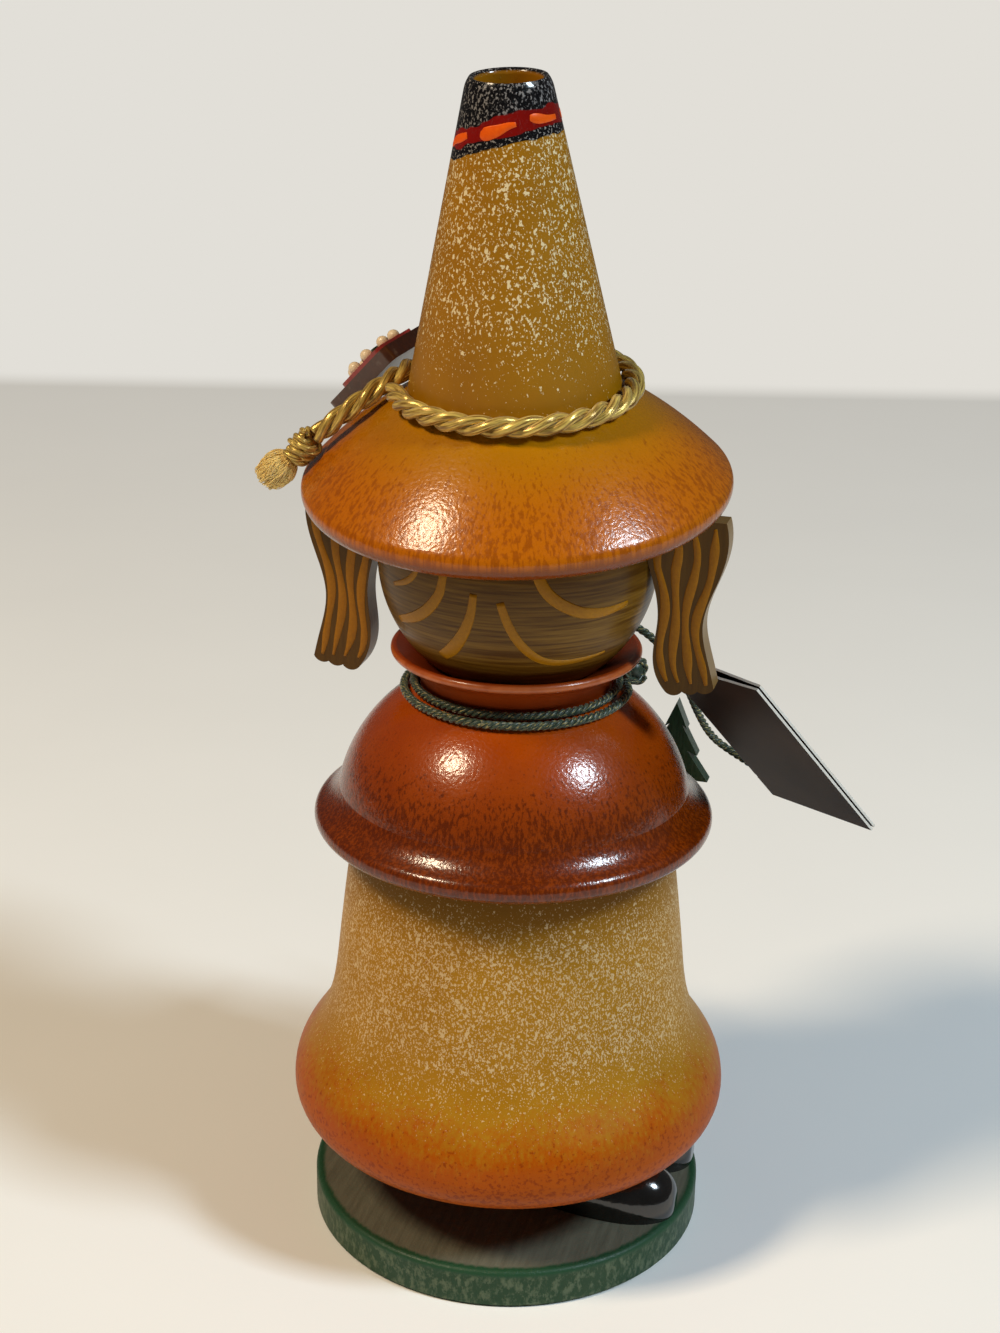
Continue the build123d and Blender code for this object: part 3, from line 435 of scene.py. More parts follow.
def hat_cone_finish():
    paint = Paint("hat_cone", HAT_TILT)
    shade = paint.noise(size=9.0, detail=3.0)
    ochre = paint.mix(shade, srgb(144, 94, 0), srgb(164, 112, 4))
    level = paint.blend(paint.height, *CONE_FLECKS, 0.69, 0.575)
    flecks = cream_specks(paint, level, size=0.35)
    body = paint.mix(paint.times(flecks, 0.85), ochre, srgb(236, 218, 172))
    lean = paint.dot(paint.place, around(1, BAND_AZIMUTH, 0) * -BAND_SLANT)
    wave = paint.swing(paint.noise(size=3.2, detail=1.0), -0.45, 0.45)
    slant = paint.sum(paint.sum(paint.height, lean), wave)
    grey = paint.specks(size=0.36, level=0.53, stretch=(1, 1, 1.3), detail=2.0, soft=0.12)
    tip = paint.mix(grey, srgb(12, 11, 13), srgb(128, 124, 122))
    few = paint.specks(size=0.34, level=0.6, detail=1.0)
    rim = paint.mix(few, srgb(14, 13, 15), srgb(130, 124, 118))
    red = paint.mix(shade, srgb(96, 4, 2), srgb(138, 14, 6))
    colour = paint.mix(paint.step(slant, *HAT_RIM_BAND), body, rim)
    colour = paint.mix(paint.step(slant, *HAT_RED_BAND), colour, red)
    colour = paint.mix(paint.step(slant, *HAT_TIP_BAND), colour, tip)
    wall = paint.blend(paint.height, CONE_FOOT, CONE_TOP, CONE_FOOT_RADIUS, CONE_TOP_RADIUS)
    depth = paint.reckon("SUBTRACT", wall, paint.radius)
    colour = paint.mix(paint.step(depth, *CONE_WALL_DEPTH), colour, srgb(150, 98, 14))
    rough = paint.blend(paint.step(slant, *HAT_GLOSS), 0.0, 1.0, 0.36, 0.14)
    peel = paint.noise(size=0.9, detail=2.0)
    relief = paint.sum(paint.times(peel, 0.6), paint.times(flecks, 0.4))
    return paint.finish(
        colour, rough=rough, relief=relief, depth=0.03, gloss=0.3, coat_weight=0.25, coat_roughness=0.12
    )


def brim_finish():
    paint = Paint("hat_brim", HAT_TILT)
    shade = paint.noise(size=7.0, detail=3.0)
    ochre = paint.mix(shade, srgb(156, 100, 0), srgb(174, 114, 0))
    edge = paint.step(paint.radius, *BRIM_EDGE_RADIUS)
    amber = paint.mix(edge, ochre, srgb(178, 95, 0))
    level = paint.blend(edge, 0.0, 1.0, 0.63, 0.45)
    drum = paint.spread(BRIM_STAIN_DRUM)
    slope = {"stretch": (1, 1, 1.9), "detail": 3.0, "rough": 0.6, "place": drum}
    stain = paint.specks(size=0.48, level=level, soft=0.14, **slope)
    colour = paint.mix(paint.times(stain, 0.5), amber, srgb(116, 46, 0))
    under = paint.step(paint.height, *BRIM_UNDERSIDE)
    colour = paint.mix(under, colour, srgb(120, 54, 2))
    peel = paint.noise(size=0.6, detail=2.0)
    rough = paint.swing(peel, 0.24, 0.34)
    return paint.finish(
        colour, rough=rough, relief=peel, depth=0.055, gloss=0.14, coat_weight=0.45, coat_roughness=0.16
    )


def cape_finish():
    paint = Paint("cape")
    shade = paint.noise(size=6.0, detail=3.0)
    top = paint.mix(shade, srgb(146, 52, 0), srgb(166, 70, 2))
    low = paint.mix(shade, srgb(102, 36, 0), srgb(134, 56, 2))
    fall = paint.step(paint.height, *CAPE_FALL)
    level = paint.blend(fall, 0.0, 1.0, 0.64, 0.4)
    streak = paint.specks(size=0.5, level=level, soft=0.16, stretch=(1, 1, 4.0), detail=4.0, rough=0.65)
    colour = paint.mix(fall, top, low)
    colour = paint.mix(paint.times(streak, 0.75), colour, srgb(74, 22, 0))
    peel = paint.noise(size=0.6, detail=2.0)
    rough = paint.swing(peel, 0.24, 0.34)
    return paint.finish(
        colour, rough=rough, relief=peel, depth=0.055, gloss=0.14, coat_weight=0.6, coat_roughness=0.15
    )


def collar_finish():
    paint = Paint("collar")
    shade = paint.noise(size=4.0, detail=3.0)
    rust = paint.mix(shade, srgb(128, 42, 2), srgb(154, 62, 10))
    lathe = paint.noise(size=0.5, detail=1.0, stretch=(30, 30, 1))
    rust = paint.mix(paint.times(lathe, 0.25), rust, srgb(96, 30, 10))
    worn = paint.times(paint.step(paint.radius, *COLLAR_LIP_RADIUS), paint.noise(size=2.0))
    colour = paint.mix(worn, rust, srgb(196, 112, 62))
    peel = paint.noise(size=0.9, detail=2.0)
    return paint.finish(
        colour, rough=0.3, relief=peel, depth=0.03, gloss=0.25, coat_weight=0.3, coat_roughness=0.16
    )


def sleeve_finish():
    paint = Paint("sleeve")
    shade = paint.noise(size=4.0, detail=3.0)
    colour = paint.mix(shade, srgb(140, 52, 10), srgb(172, 74, 18))
    stain = paint.specks(size=0.7, level=0.5, soft=0.15, detail=4.0)
    colour = paint.mix(paint.times(stain, 0.6), colour, srgb(84, 22, 8))
    peel = paint.noise(size=1.0, detail=2.0)
    return paint.finish(
        colour, rough=0.27, relief=peel, depth=0.04, coat_weight=0.3, coat_roughness=0.16
    )


def head_finish():
    paint = Paint("head")
    brush = paint.noise(size=0.5, detail=3.0, rough=0.6, stretch=(26, 26, 1))
    wide = paint.noise(size=2.4, detail=2.0, stretch=(9, 9, 1))
    hair = paint.mix(paint.step(brush, 0.25, 0.75), srgb(74, 44, 0), srgb(134, 98, 34))
    hair = paint.mix(paint.times(wide, 0.5), hair, srgb(68, 38, 0))
    front = paint.step(paint.y, *FACE_EDGE_Y)
    skin = paint.mix(paint.noise(size=5.0), srgb(222, 172, 128), srgb(232, 186, 144))
    colour = paint.mix(front, hair, skin)
    return paint.finish(
        colour, rough=0.36, relief=brush, depth=0.03, gloss=0.15, coat_weight=0.08, coat_roughness=0.2
    )


def skin_finish(name, light, dark):
    paint = Paint(name)
    colour = paint.mix(paint.noise(size=2.5, detail=3.0), dark, light)
    peel = paint.noise(size=0.6, detail=2.0)
    return paint.finish(
        colour, rough=0.34, relief=peel, depth=0.03, coat_weight=0.2, coat_roughness=0.2
    )


def hair_finish():
    paint = Paint("hair")
    brush = paint.noise(size=0.6, detail=3.0, stretch=(1, 1, 9))
    colour = paint.mix(brush, srgb(68, 42, 0), srgb(98, 66, 10))
    flat = paint.reckon("ABSOLUTE", paint.dot(paint.facing, (0, 1, 0)))
    bare = paint.step(flat, 0.7, 0.3)
    colour = paint.mix(paint.times(bare, 0.6), colour, srgb(146, 114, 66))
    return paint.finish(
        colour, rough=0.36, relief=brush, depth=0.03, gloss=0.15, coat_weight=0.08, coat_roughness=0.2
    )


def skirt_finish():
    paint = Paint("skirt")
    shade = paint.noise(size=9.0, detail=3.0)
    ochre = paint.mix(shade, srgb(156, 106, 12), srgb(174, 124, 28))
    # Painted shade: the skirt goes darker towards its top, where the cape's rim shades it
    ochre = paint.mix(paint.step(paint.height, *SKIRT_PAINTED_SHADE), ochre, srgb(112, 72, 0))
    level = paint.blend(paint.height, *SKIRT_FLECKS, 0.7, 0.545)
    level = paint.sum(level, paint.blend(paint.height, *SKIRT_FLECKS_END, 0.0, 0.11))
    flecks = cream_specks(paint, level, size=0.27)
    body = paint.mix(paint.times(flecks, 0.5), ochre, srgb(236, 216, 174))
    wave = paint.swing(paint.noise(size=8.0, detail=2.0), -1.6, 1.6)
    grain = paint.noise(size=0.8, detail=4.0, rough=0.65, stretch=(1, 1, 2.2))
    fall = paint.sum(paint.sum(paint.height, wave), paint.blend(grain, 0.25, 0.75, -4.0, 4.0))
    orange = paint.mix(shade, srgb(156, 68, 0), srgb(174, 82, 0))
    colour = paint.mix(paint.step(fall, *SKIRT_ORANGE), body, orange)
    level = paint.blend(fall, *SKIRT_STAIN, 0.68, 0.44)
    stain = paint.specks(size=0.7, level=level, soft=0.12, detail=3.0, rough=0.6)
    colour = paint.mix(paint.times(stain, 0.7), colour, srgb(126, 46, 0))
    peel = paint.noise(size=1.1, detail=2.0)
    rough = paint.blend(paint.height, *SKIRT_GLOSS, 0.36, 0.5)
    relief = paint.sum(paint.times(peel, 0.7), paint.times(flecks, 0.3))
    return paint.finish(
        colour, rough=rough, relief=relief, depth=0.04, gloss=0.08, coat_weight=0.06, coat_roughness=0.25
    )


def base_finish():
    paint = Paint("base")
    brush = paint.noise(size=0.7, detail=3.0, rough=0.6, stretch=(1, 14, 1))
    top = paint.mix(brush, srgb(72, 71, 58), srgb(115, 114, 97))
    mottle = paint.specks(size=1.1, level=0.44, soft=0.2, detail=4.0, rough=0.7, stretch=(1, 1, 1.8))
    green = paint.mix(mottle, srgb(30, 62, 36), srgb(84, 99, 74))
    green = paint.mix(paint.step(paint.height, *BASE_TOP_BAND), green, srgb(30, 68, 42))
    rim = paint.step(paint.sum(paint.radius, paint.times(brush, 1.2)), *BASE_RIM_RADIUS)
    colour = paint.mix(rim, top, green)
    return paint.finish(
        colour, rough=0.5, relief=mottle, depth=0.03, gloss=0.25, coat_weight=0.1, coat_roughness=0.3
    )


def black_finish():
    paint = Paint("black_lacquer")
    shade = paint.noise(size=2.0, detail=3.0)
    colour = paint.mix(shade, srgb(10, 9, 9), srgb(30, 27, 25))
    peel = paint.noise(size=1.2, detail=2.0)
    return paint.finish(
        colour, rough=0.14, relief=peel, depth=0.03, coat_weight=0.6, coat_roughness=0.06
    )


def bare_wood_finish():
    paint = Paint("bare_wood")
    grain = paint.noise(size=0.7, detail=4.0, rough=0.6, stretch=(1, 1, 12))
    pores = paint.specks(size=0.3, level=0.62, stretch=(1, 1, 8), detail=1.0)
    colour = paint.mix(grain, srgb(196, 158, 108), srgb(226, 194, 146))
    colour = paint.mix(paint.times(pores, 0.6), colour, srgb(150, 110, 68))
    return paint.finish(colour, rough=0.6, relief=grain, depth=0.04)


def tree_finish():
    paint = Paint("fir_tree")
    brush = paint.noise(size=0.4, detail=3.0, stretch=(1, 1, 5))
    colour = paint.mix(brush, srgb(10, 30, 18), srgb(34, 66, 42))
    return paint.finish(
        colour, rough=0.34, relief=brush, depth=0.05, coat_weight=0.3, coat_roughness=0.15
    )


def tin_finish():
    paint = Paint("tin")
    smear = paint.noise(size=3.0, detail=4.0)
    scratch = paint.noise(size=0.2, detail=2.0, stretch=(12, 1, 1))
    colour = paint.mix(smear, srgb(150, 148, 144), srgb(196, 194, 190))
    rough = paint.swing(smear, 0.28, 0.45)
    return paint.finish(colour, rough=rough, relief=scratch, depth=0.01, metallic=1.0)


def chocolate_finish():
    paint = Paint("chocolate", HAT_TILT)
    smear = paint.noise(size=1.2, detail=4.0)
    # Painted sheen: grey flecks over the brown stand in for the tile's grey sheen
    grey_sheen = paint.specks(size=1.8, level=0.58, soft=0.2, detail=3.0)
    colour = paint.mix(smear, srgb(52, 24, 8), srgb(86, 46, 20))
    colour = paint.mix(paint.times(grey_sheen, 0.45), colour, srgb(150, 134, 120))
    return paint.finish(
        colour, rough=0.32, relief=smear, depth=0.08, coat_weight=0.3, coat_roughness=0.15
    )


def icing_finish(name, light, dark):
    paint = Paint(name)
    smear = paint.noise(size=0.9, detail=4.0)
    colour = paint.mix(smear, dark, light)
    return paint.finish(
        colour, rough=0.34, relief=smear, depth=0.1, coat_weight=0.25, coat_roughness=0.15
    )


def card_finish():
    """Brown card outside, white paper inside and at the cut edges."""
    paint = Paint("card")
    outward = paint.dot(paint.facing, TAG_OUTWARD)
    fibre = paint.noise(size=0.6, detail=4.0)
    smear = paint.noise(size=14.0, detail=2.0)
    brown = paint.mix(smear, srgb(18, 6, 0), srgb(66, 48, 38))
    brown = paint.mix(paint.times(fibre, 0.2), brown, srgb(14, 6, 2))
    paper = paint.mix(fibre, srgb(206, 200, 188), srgb(232, 228, 220))
    flat = paint.reckon("ABSOLUTE", outward)
    colour = paint.mix(paint.step(flat, 0.6, 0.9), paper, brown)
    return paint.finish(colour, rough=0.5, relief=fibre, depth=0.01, gloss=0.08)


def thread_finish(name, light, dark, rough, **shader):
    """Twisted satin threads, with their fibres along the strand's own UV map."""
    paint = Paint(name)
    along = paint.scaled(paint.uv, (0.3, 14.0, 1.0))
    fibre = paint.noise(size=1.0, detail=3.0, rough=0.6, place=along)
    colour = paint.mix(paint.step(fibre, 0.3, 0.7), dark, light)
    return paint.finish(colour, rough=rough, relief=fibre, depth=0.08, **shader)


def fleck_finish():
    """Dark green thread with a few gold fibres in the twist."""
    paint = Paint("green_cord")
    along = paint.scaled(paint.uv, (0.8, 5.0, 1.0))
    fibre = paint.noise(size=1.0, detail=3.0, rough=0.6, place=along)
    green = paint.mix(fibre, srgb(12, 26, 18), srgb(52, 74, 54))
    spark = paint.specks(size=0.55, level=0.57, soft=0.06, detail=2.0, place=along)
    colour = paint.mix(spark, green, srgb(164, 150, 92))
    return paint.finish(colour, rough=0.4, relief=fibre, depth=0.06, sheen_weight=0.2)


def mark_finish(name, light, dark):
    """Paint laid on with a brush."""
    paint = Paint(name)
    brush = paint.noise(size=0.5, detail=3.0)
    colour = paint.mix(brush, dark, light)
    return paint.finish(
        colour, rough=0.36, relief=brush, depth=0.02, gloss=0.15, coat_weight=0.06, coat_roughness=0.2
    )


# Cords


def steered_line(points, steps=16):
    """Points in metres along the smooth line that route points in metres steer."""
    curve = bpy.data.curves.new("route", "CURVE")
    curve.dimensions = "3D"
    curve.resolution_u = steps
    spline = curve.splines.new("NURBS")
    spline.points.add(len(points) - 1)
    for control, point in zip(spline.points, points):
        control.co = (*point, 1)
    spline.order_u = 3
    spline.use_endpoint_u = True
    holder = bpy.data.objects.new("route", curve)
    mesh = bpy.data.meshes.new_from_object(holder)
    line = [vertex.co.copy() for vertex in mesh.vertices]
    bpy.data.meshes.remove(mesh)
    bpy.data.objects.remove(holder)
    bpy.data.curves.remove(curve)
    return line


def even_steps(line, step):
    """The same line with points about step apart."""
    reach = [0.0]
    for a, b in zip(line, line[1:]):
        reach.append(reach[-1] + (b - a).length)
    count = max(2, round(reach[-1] / step))
    points = []
    i = 0
    for k in range(count + 1):
        goal = reach[-1] * k / count
        while i < len(line) - 2 and reach[i + 1] < goal:
            i += 1
        span = reach[i + 1] - reach[i] or 1.0
        points.append(line[i].lerp(line[i + 1], (goal - reach[i]) / span))
    return points


def smooth_line(points):
    """Smooth line through a few points, by Catmull and Rom's rule."""
    steps = 4
    line = []
    for i in range(len(points) - 1):
        p0, p1, p2 = points[max(i - 1, 0)], points[i], points[i + 1]
        p3 = points[min(i + 2, len(points) - 1)]
        for k in range(steps):
            t = k / steps
            line.append(
                0.5
                * (
                    p1 * 2
                    + (p2 - p0) * t
                    + (p0 * 2 - p1 * 5 + p2 * 4 - p3) * t**2
                    + (p1 * 3 - p0 - p2 * 3 + p3) * t**3
                )
            )
    return [*line, points[-1]]


def carried_frames(line):
    """Tangent and two sides at every point, turning about the line as little as can be."""
    tangents = []
    for i in range(len(line)):
        before, after = line[max(i - 1, 0)], line[min(i + 1, len(line) - 1)]
        tangents.append((after - before).normalized())
    side = tangents[0].orthogonal().normalized()
    frames = []
    for tangent in tangents:
        side = (side - tangent * side.dot(tangent)).normalized()
        frames.append((tangent, side, tangent.cross(side)))
    return frames


def add_tube(shape, line, radii, sides):
    """One closed tube along a line, with a UV map of millimetres along and turns round."""
    uv = shape.loops.layers.uv.verify()
    rings = []
    for point, radius, (_, a, b) in zip(line, radii, carried_frames(line)):
        turns = [math.tau * k / sides for k in range(sides)]
        offsets = [(a * math.cos(t) + b * math.sin(t)) * radius for t in turns]
        rings.append([shape.verts.new(point + offset) for offset in offsets])
    along = 0.0
    for i in range(len(rings) - 1):
        reach = along + (line[i + 1] - line[i]).length / MM
        for k in range(sides):
            n = (k + 1) % sides
            face = shape.faces.new((rings[i][k], rings[i][n], rings[i + 1][n], rings[i + 1][k]))
            corners = ((along, k), (along, k + 1), (reach, k + 1), (reach, k))
            for loop, (u, turn) in zip(face.loops, corners):
                loop[uv].uv = (u, turn / sides)
        along = reach
    shape.faces.new(rings[0])
    shape.faces.new(rings[-1][::-1])


def add_rope(shape, line, diameter, pitch, plies=3, sides=10):
    """Plies that touch each other and wind to the left about one line."""
    share = math.sin(math.pi / plies)
    ply = diameter / 2 * share / (1 + share)
    offset = diameter / 2 - ply
    frames = carried_frames(line)
    for k in range(plies):
        strand = []
        along = 0.0
        for i, (point, (_, a, b)) in enumerate(zip(line, frames)):
            along += (point - line[i - 1]).length if i else 0.0
            angle = math.tau * (k / plies - along / pitch)
            strand.append(point + (a * math.cos(angle) + b * math.sin(angle)) * offset)
        add_tube(shape, strand, [ply] * len(strand), sides)


def rope_piece(name, line, diameter, pitch, material):
    shape = bmesh.new()
    add_rope(shape, line, diameter * MM, pitch * MM)
    return upper_piece(name, shape, material)


def hat_route():
    """Once round the cone, then down over the brim, in metres."""
    steps = 11
    lead = around(HAT_RING_RADIUS, HAT_RING_START, HAT_RING_HEIGHT)
    lead += turned_to(HAT_RING_START + 90) * -HAT_CORD_DIAMETER
    stride = (HAT_RING_END - HAT_RING_START) / steps
    wide = HAT_RING_RADIUS / math.cos(math.radians(stride / 2))
    ring = [around(HAT_RING_RADIUS, HAT_RING_START, HAT_RING_HEIGHT)]
    for k in range(steps):
        ring.append(around(wide, HAT_RING_START + stride * (k + 0.5), HAT_RING_HEIGHT))
    ring.append(around(HAT_RING_RADIUS, HAT_RING_END, HAT_RING_HEIGHT))
    route = [lead, *ring, *(Vector(point) for point in HAT_TAIL)]
    return [HAT @ point * MM for point in route]


def neck_route():
    """Two laps round the collar's foot that cross over between them, in metres."""
    steps = 12
    stride = NECK_LAP / steps
    wide = 1 / math.cos(math.radians(stride / 2))
    (inner, inner_height), (outer, outer_height) = NECK_TURNS
    end = NECK_START + 360 + NECK_LAP
    start = around(inner, NECK_START, inner_height)
    points = [start - turned_to(NECK_START + 90) * NECK_CORD_DIAMETER, start]
    for k in range(steps):
        points.append(around(inner * wide, NECK_START + stride * (k + 0.5), inner_height))
    for share in (1 / 3, 2 / 3):
        radius = inner + (outer - inner) * share
        height = inner_height + (outer_height - inner_height) * share
        azimuth = NECK_START + NECK_LAP - stride / 2 + (360 - NECK_LAP + stride) * share
        points.append(around(radius * wide, azimuth, height))
    for k in range(steps):
        points.append(around(outer * wide, NECK_START + 360 + stride * (k + 0.5), outer_height))
    finish = around(outer, end, outer_height)
    points += [finish, finish + turned_to(end + 90) * NECK_CORD_DIAMETER]
    return [point * MM for point in points]


def add_wraps(shape, centre, axis, radius, length, wraps, thread):
    """A thread wound round a core, one wrap beside the next, in millimetres."""
    axis = Vector(axis).normalized()
    side = axis.orthogonal().normalized()
    third = axis.cross(side)
    steps = WRAP_POINTS * wraps
    reach = radius - thread / 2
    rise = length - thread
    line = []
    for k in range(steps + 1):
        angle = math.tau * k / WRAP_POINTS
        spot = side * math.cos(angle) + third * math.sin(angle)
        lift = axis * (rise * (k / steps - 0.5))
        line.append((Vector(centre) + spot * reach + lift) * MM)
    line = even_steps(line, WRAP_STEP * MM)
    add_rope(shape, line, thread * MM, thread * WRAP_TWIST * MM, sides=8)
    core = [(Vector(centre) + axis * (rise * share)) * MM for share in (-0.5, -0.25, 0, 0.25, 0.5)]
    inner = (reach - thread * 0.25) * MM
    add_tube(shape, core, [inner * 0.7, inner, inner, inner, inner * 0.7], sides=20)


def add_tassel(shape):
    """Frayed end: a full bundle of fine fibres that swell out and turn in a little at the tips."""
    dice = random.Random(TASSEL_SEED)
    axis = Vector(HAT_TAIL_DIRECTION).normalized()
    side = axis.orthogonal().normalized()
    third = axis.cross(side)
    start = Vector(TASSEL_START)
    shares = [0.0, 0.2, 0.45, 0.7, 0.9, 1.0]
    swell = [TASSEL_NECK / TASSEL_RADIUS, 0.82, 1.0, 0.98, 0.86, 0.74]
    body = [(start + axis * TASSEL_LENGTH * share) * MM for share in shares]
    add_tube(shape, body, [TASSEL_RADIUS * TASSEL_CORE * s * MM for s in swell], sides=24)
    for _ in range(FIBRES):
        turn = dice.uniform(0, math.tau)
        depth = dice.uniform(0.84, 1.06)
        long = dice.uniform(0.85, 1.1)
        drift = dice.uniform(-0.7, 0.7)
        line = []
        for share, wide in zip(shares, swell):
            angle = turn + drift * share
            spot = side * math.cos(angle) + third * math.sin(angle)
            out = TASSEL_RADIUS * wide * depth * (1 + 0.09 * dice.uniform(-1, 1))
            line.append((start + axis * TASSEL_LENGTH * share * long + spot * out) * MM)
        line = even_steps(smooth_line(line), FIBRE_STEP * MM)
        add_tube(shape, line, [FIBRE_RADIUS * MM] * len(line), sides=4)


def metric(move):
    """A move written in millimetres, for points in metres."""
    return Matrix.Scale(MM, 4) @ move @ Matrix.Scale(1 / MM, 4)


def make_cords():
    gold = thread_finish(
        "gold_cord",
        light=srgb(240, 206, 104),
        dark=srgb(112, 72, 6),
        rough=0.26,
        metallic=0.35,
        sheen_weight=0.15,
    )
    tuft = thread_finish(
        "gold_tuft", light=srgb(255, 230, 142), dark=srgb(240, 194, 92), rough=0.45, sheen_weight=0.4
    )
    green = fleck_finish()

    hat_line = even_steps(steered_line(hat_route()), HAT_CORD_STEP * MM)
    hat_cord = rope_piece(
        "gold_hat_cord", hat_line, HAT_CORD_DIAMETER, HAT_CORD_PITCH, gold
    )
    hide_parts("hat_cord")

    shape = bmesh.new()
    add_wraps(shape, **HAT_KNOT)
    bmesh.ops.transform(shape, matrix=metric(HAT), verts=shape.verts)
    hat_knot = upper_piece("gold_knot", shape, gold)
    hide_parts("hat_knot")

    shape = bmesh.new()
    add_tassel(shape)
    bmesh.ops.transform(shape, matrix=metric(HAT), verts=shape.verts)
    tassel = upper_piece("gold_tassel", shape, tuft)
    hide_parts("hat_tassel")

    neck_line = even_steps(steered_line(neck_route()), NECK_CORD_STEP * MM)
    neck_cord = rope_piece(
        "green_neck_cord", neck_line, NECK_CORD_DIAMETER, NECK_CORD_PITCH, green
    )
    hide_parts("neck_cord")
    shape = bmesh.new()
    add_wraps(shape, **NECK_KNOT)
    neck_knot = upper_piece("green_neck_knot", shape, green)
    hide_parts("neck_knot")

    shape = bmesh.new()
    add_wraps(shape, **TAG_KNOT)
    tag_knot = upper_piece("green_tag_knot", shape, green)
    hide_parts("tag_knot")
    tag_route = [Vector(point) * MM for point in TAG_CORD_ROUTE]
    tag_line = even_steps(steered_line(tag_route), NECK_CORD_STEP * MM)
    tag_cord = rope_piece(
        "green_tag_cord", tag_line, NECK_CORD_DIAMETER, NECK_CORD_PITCH, green
    )
    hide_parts("tag_cord")


# Painted marks


def on_head(azimuth, height):
    """Place on the ball and the direction that it faces."""
    rise = height - HEAD_CENTRE
    point = around(math.sqrt(HEAD_RADIUS**2 - rise**2), azimuth, rise)
    return point + UP * HEAD_CENTRE, point.normalized()


def on_cone(azimuth, height):
    """Place on the hat's cone, in the hat's upright frame, and the direction that it faces."""
    radius = CONE_FOOT_RADIUS + CONE_SLOPE * (height - CONE_FOOT)
    facing = (turned_to(azimuth) - UP * CONE_SLOPE).normalized()
    return HAT @ around(radius, azimuth, height), HAT.to_3x3() @ facing


def on_board(node, outward):
    """Places on one flat side of a hair board: share of its width, and height."""
    low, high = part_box(node)
    face = high.y if outward > 0 else low.y
    beside = 1.0 * MM
    inside = face - outward * 0.5 * MM

    def place(share, height):
        edges = []
        for x, step in ((low.x - beside, 1), (high.x + beside, -1)):
            start = Vector((x, inside, height * MM))
            found, point, _, _ = NODES[node].ray_cast(start, Vector((step, 0, 0)))
            edges.append(point.x if found else x)
        across = edges[0] + share * (edges[1] - edges[0])
        return Vector((across, face, height * MM)) / MM, Vector((0, outward, 0))

    return place


def add_stroke(shape, marks, surface):
    """A brush stroke: a thin closed strip through marks of place, place and full width."""
    flank = STROKE_LIFT * 0.7
    profile = [(-1, -STROKE_SUNK), (-0.8, flank), (0, STROKE_LIFT), (0.8, flank), (1, -STROKE_SUNK)]
    marks = smooth_line([Vector(mark) for mark in marks])
    spots = [surface(mark.x, mark.y) for mark in marks]
    rings = []
    for i, (mark, (point, facing)) in enumerate(zip(marks, spots)):
        ahead = spots[min(i + 1, len(spots) - 1)][0] - spots[max(i - 1, 0)][0]
        side = facing.cross(ahead).normalized() * max(mark.z, STROKE_LEAST) / 2
        rings.append([shape.verts.new((point + side * s + facing * h) * MM) for s, h in profile])
    for first, second in zip(rings, rings[1:]):
        for k in range(len(profile)):
            n = (k + 1) % len(profile)
            shape.faces.new((first[k], first[n], second[n], second[k]))
    shape.faces.new(rings[0])
    shape.faces.new(rings[-1][::-1])


def add_spot(shape, across, up, wide, tall, surface):
    """An oval dab: wide counts in the surface's first measure and tall in millimetres."""
    marks = []
    for k in range(SPOT_STEPS + 1):
        share = -math.cos(math.pi * k / SPOT_STEPS)
        marks.append((across + share * wide / 2, up, tall * math.sqrt(max(1 - share**2, 0.01))))
    add_stroke(shape, marks, surface)


def add_face_spot(shape, side, turn, height, wide, tall):
    """An eye or a cheek, on the side of the face that side's sign says."""
    add_spot(shape, FACE_AZIMUTH + side * turn, height, wide, tall, on_head)


def strokes_piece(name, strokes, surface, material):
    shape = bmesh.new()
    for marks in strokes:
        add_stroke(shape, marks, surface)
    return upper_piece(name, shape, material)


def make_head_marks():
    curl = mark_finish("curl_paint", srgb(172, 118, 14), srgb(142, 92, 6))
    curls = [
        [(87.9, 116.9, 1.2), (86.6, 113.6, 1.5), (82.7, 110.2, 1.9), (76.0, 107.0, 2.2),
         (68, 104.9, 1.8)],
        [(98.3, 115.9, 1.3), (101.7, 112.2, 1.5), (107.2, 108.7, 1.6), (115.4, 106.1, 1.5),
         (125.6, 105.1, 1.4), (139.5, 105.2, 1.1), (149.9, 105.6, 0.6)],
        [(111.5, 122.0, 1.5), (113.2, 119.6, 1.8), (116.7, 117.3, 1.9), (122.7, 115.4, 1.9),
         (131.6, 113.8, 1.9), (142.8, 113.3, 1.6), (154.5, 113.8, 0.9)],
        [(75.0, 121.5, 1.3), (74.6, 118.6, 1.5), (72.7, 115.8, 1.7), (66.3, 112.9, 1.9),
         (57.2, 110.8, 1.8), (45.0, 109.2, 1.2)],
        [(62.5, 120.5, 0.9), (60.6, 118.2, 1.1), (55.4, 116.5, 1.1), (46.5, 115.2, 0.7)],
    ]
    strokes_piece("head_curls", curls, on_head, curl)
    dark = mark_finish("eye_paint", srgb(34, 24, 20), srgb(18, 12, 10))
    red = mark_finish("mouth_paint", srgb(176, 44, 36), srgb(146, 28, 24))
    blush = mark_finish("cheek_paint", srgb(224, 132, 104), srgb(214, 116, 92))
    shape = bmesh.new()
    for side in (-1, 1):
        add_face_spot(shape, side, *EYE)
        brow = [(FACE_AZIMUTH + side * turn, height, width) for turn, height, width in BROW]
        add_stroke(shape, brow, on_head)
    upper_piece("eyes", shape, dark)
    shape = bmesh.new()
    for side in (-1, 1):
        add_face_spot(shape, side, *CHEEK)
    upper_piece("cheeks", shape, blush)
    smile = [(FACE_AZIMUTH + turn, height, width) for turn, height, width in MOUTH]
    strokes_piece("mouth", [smile], on_head, red)


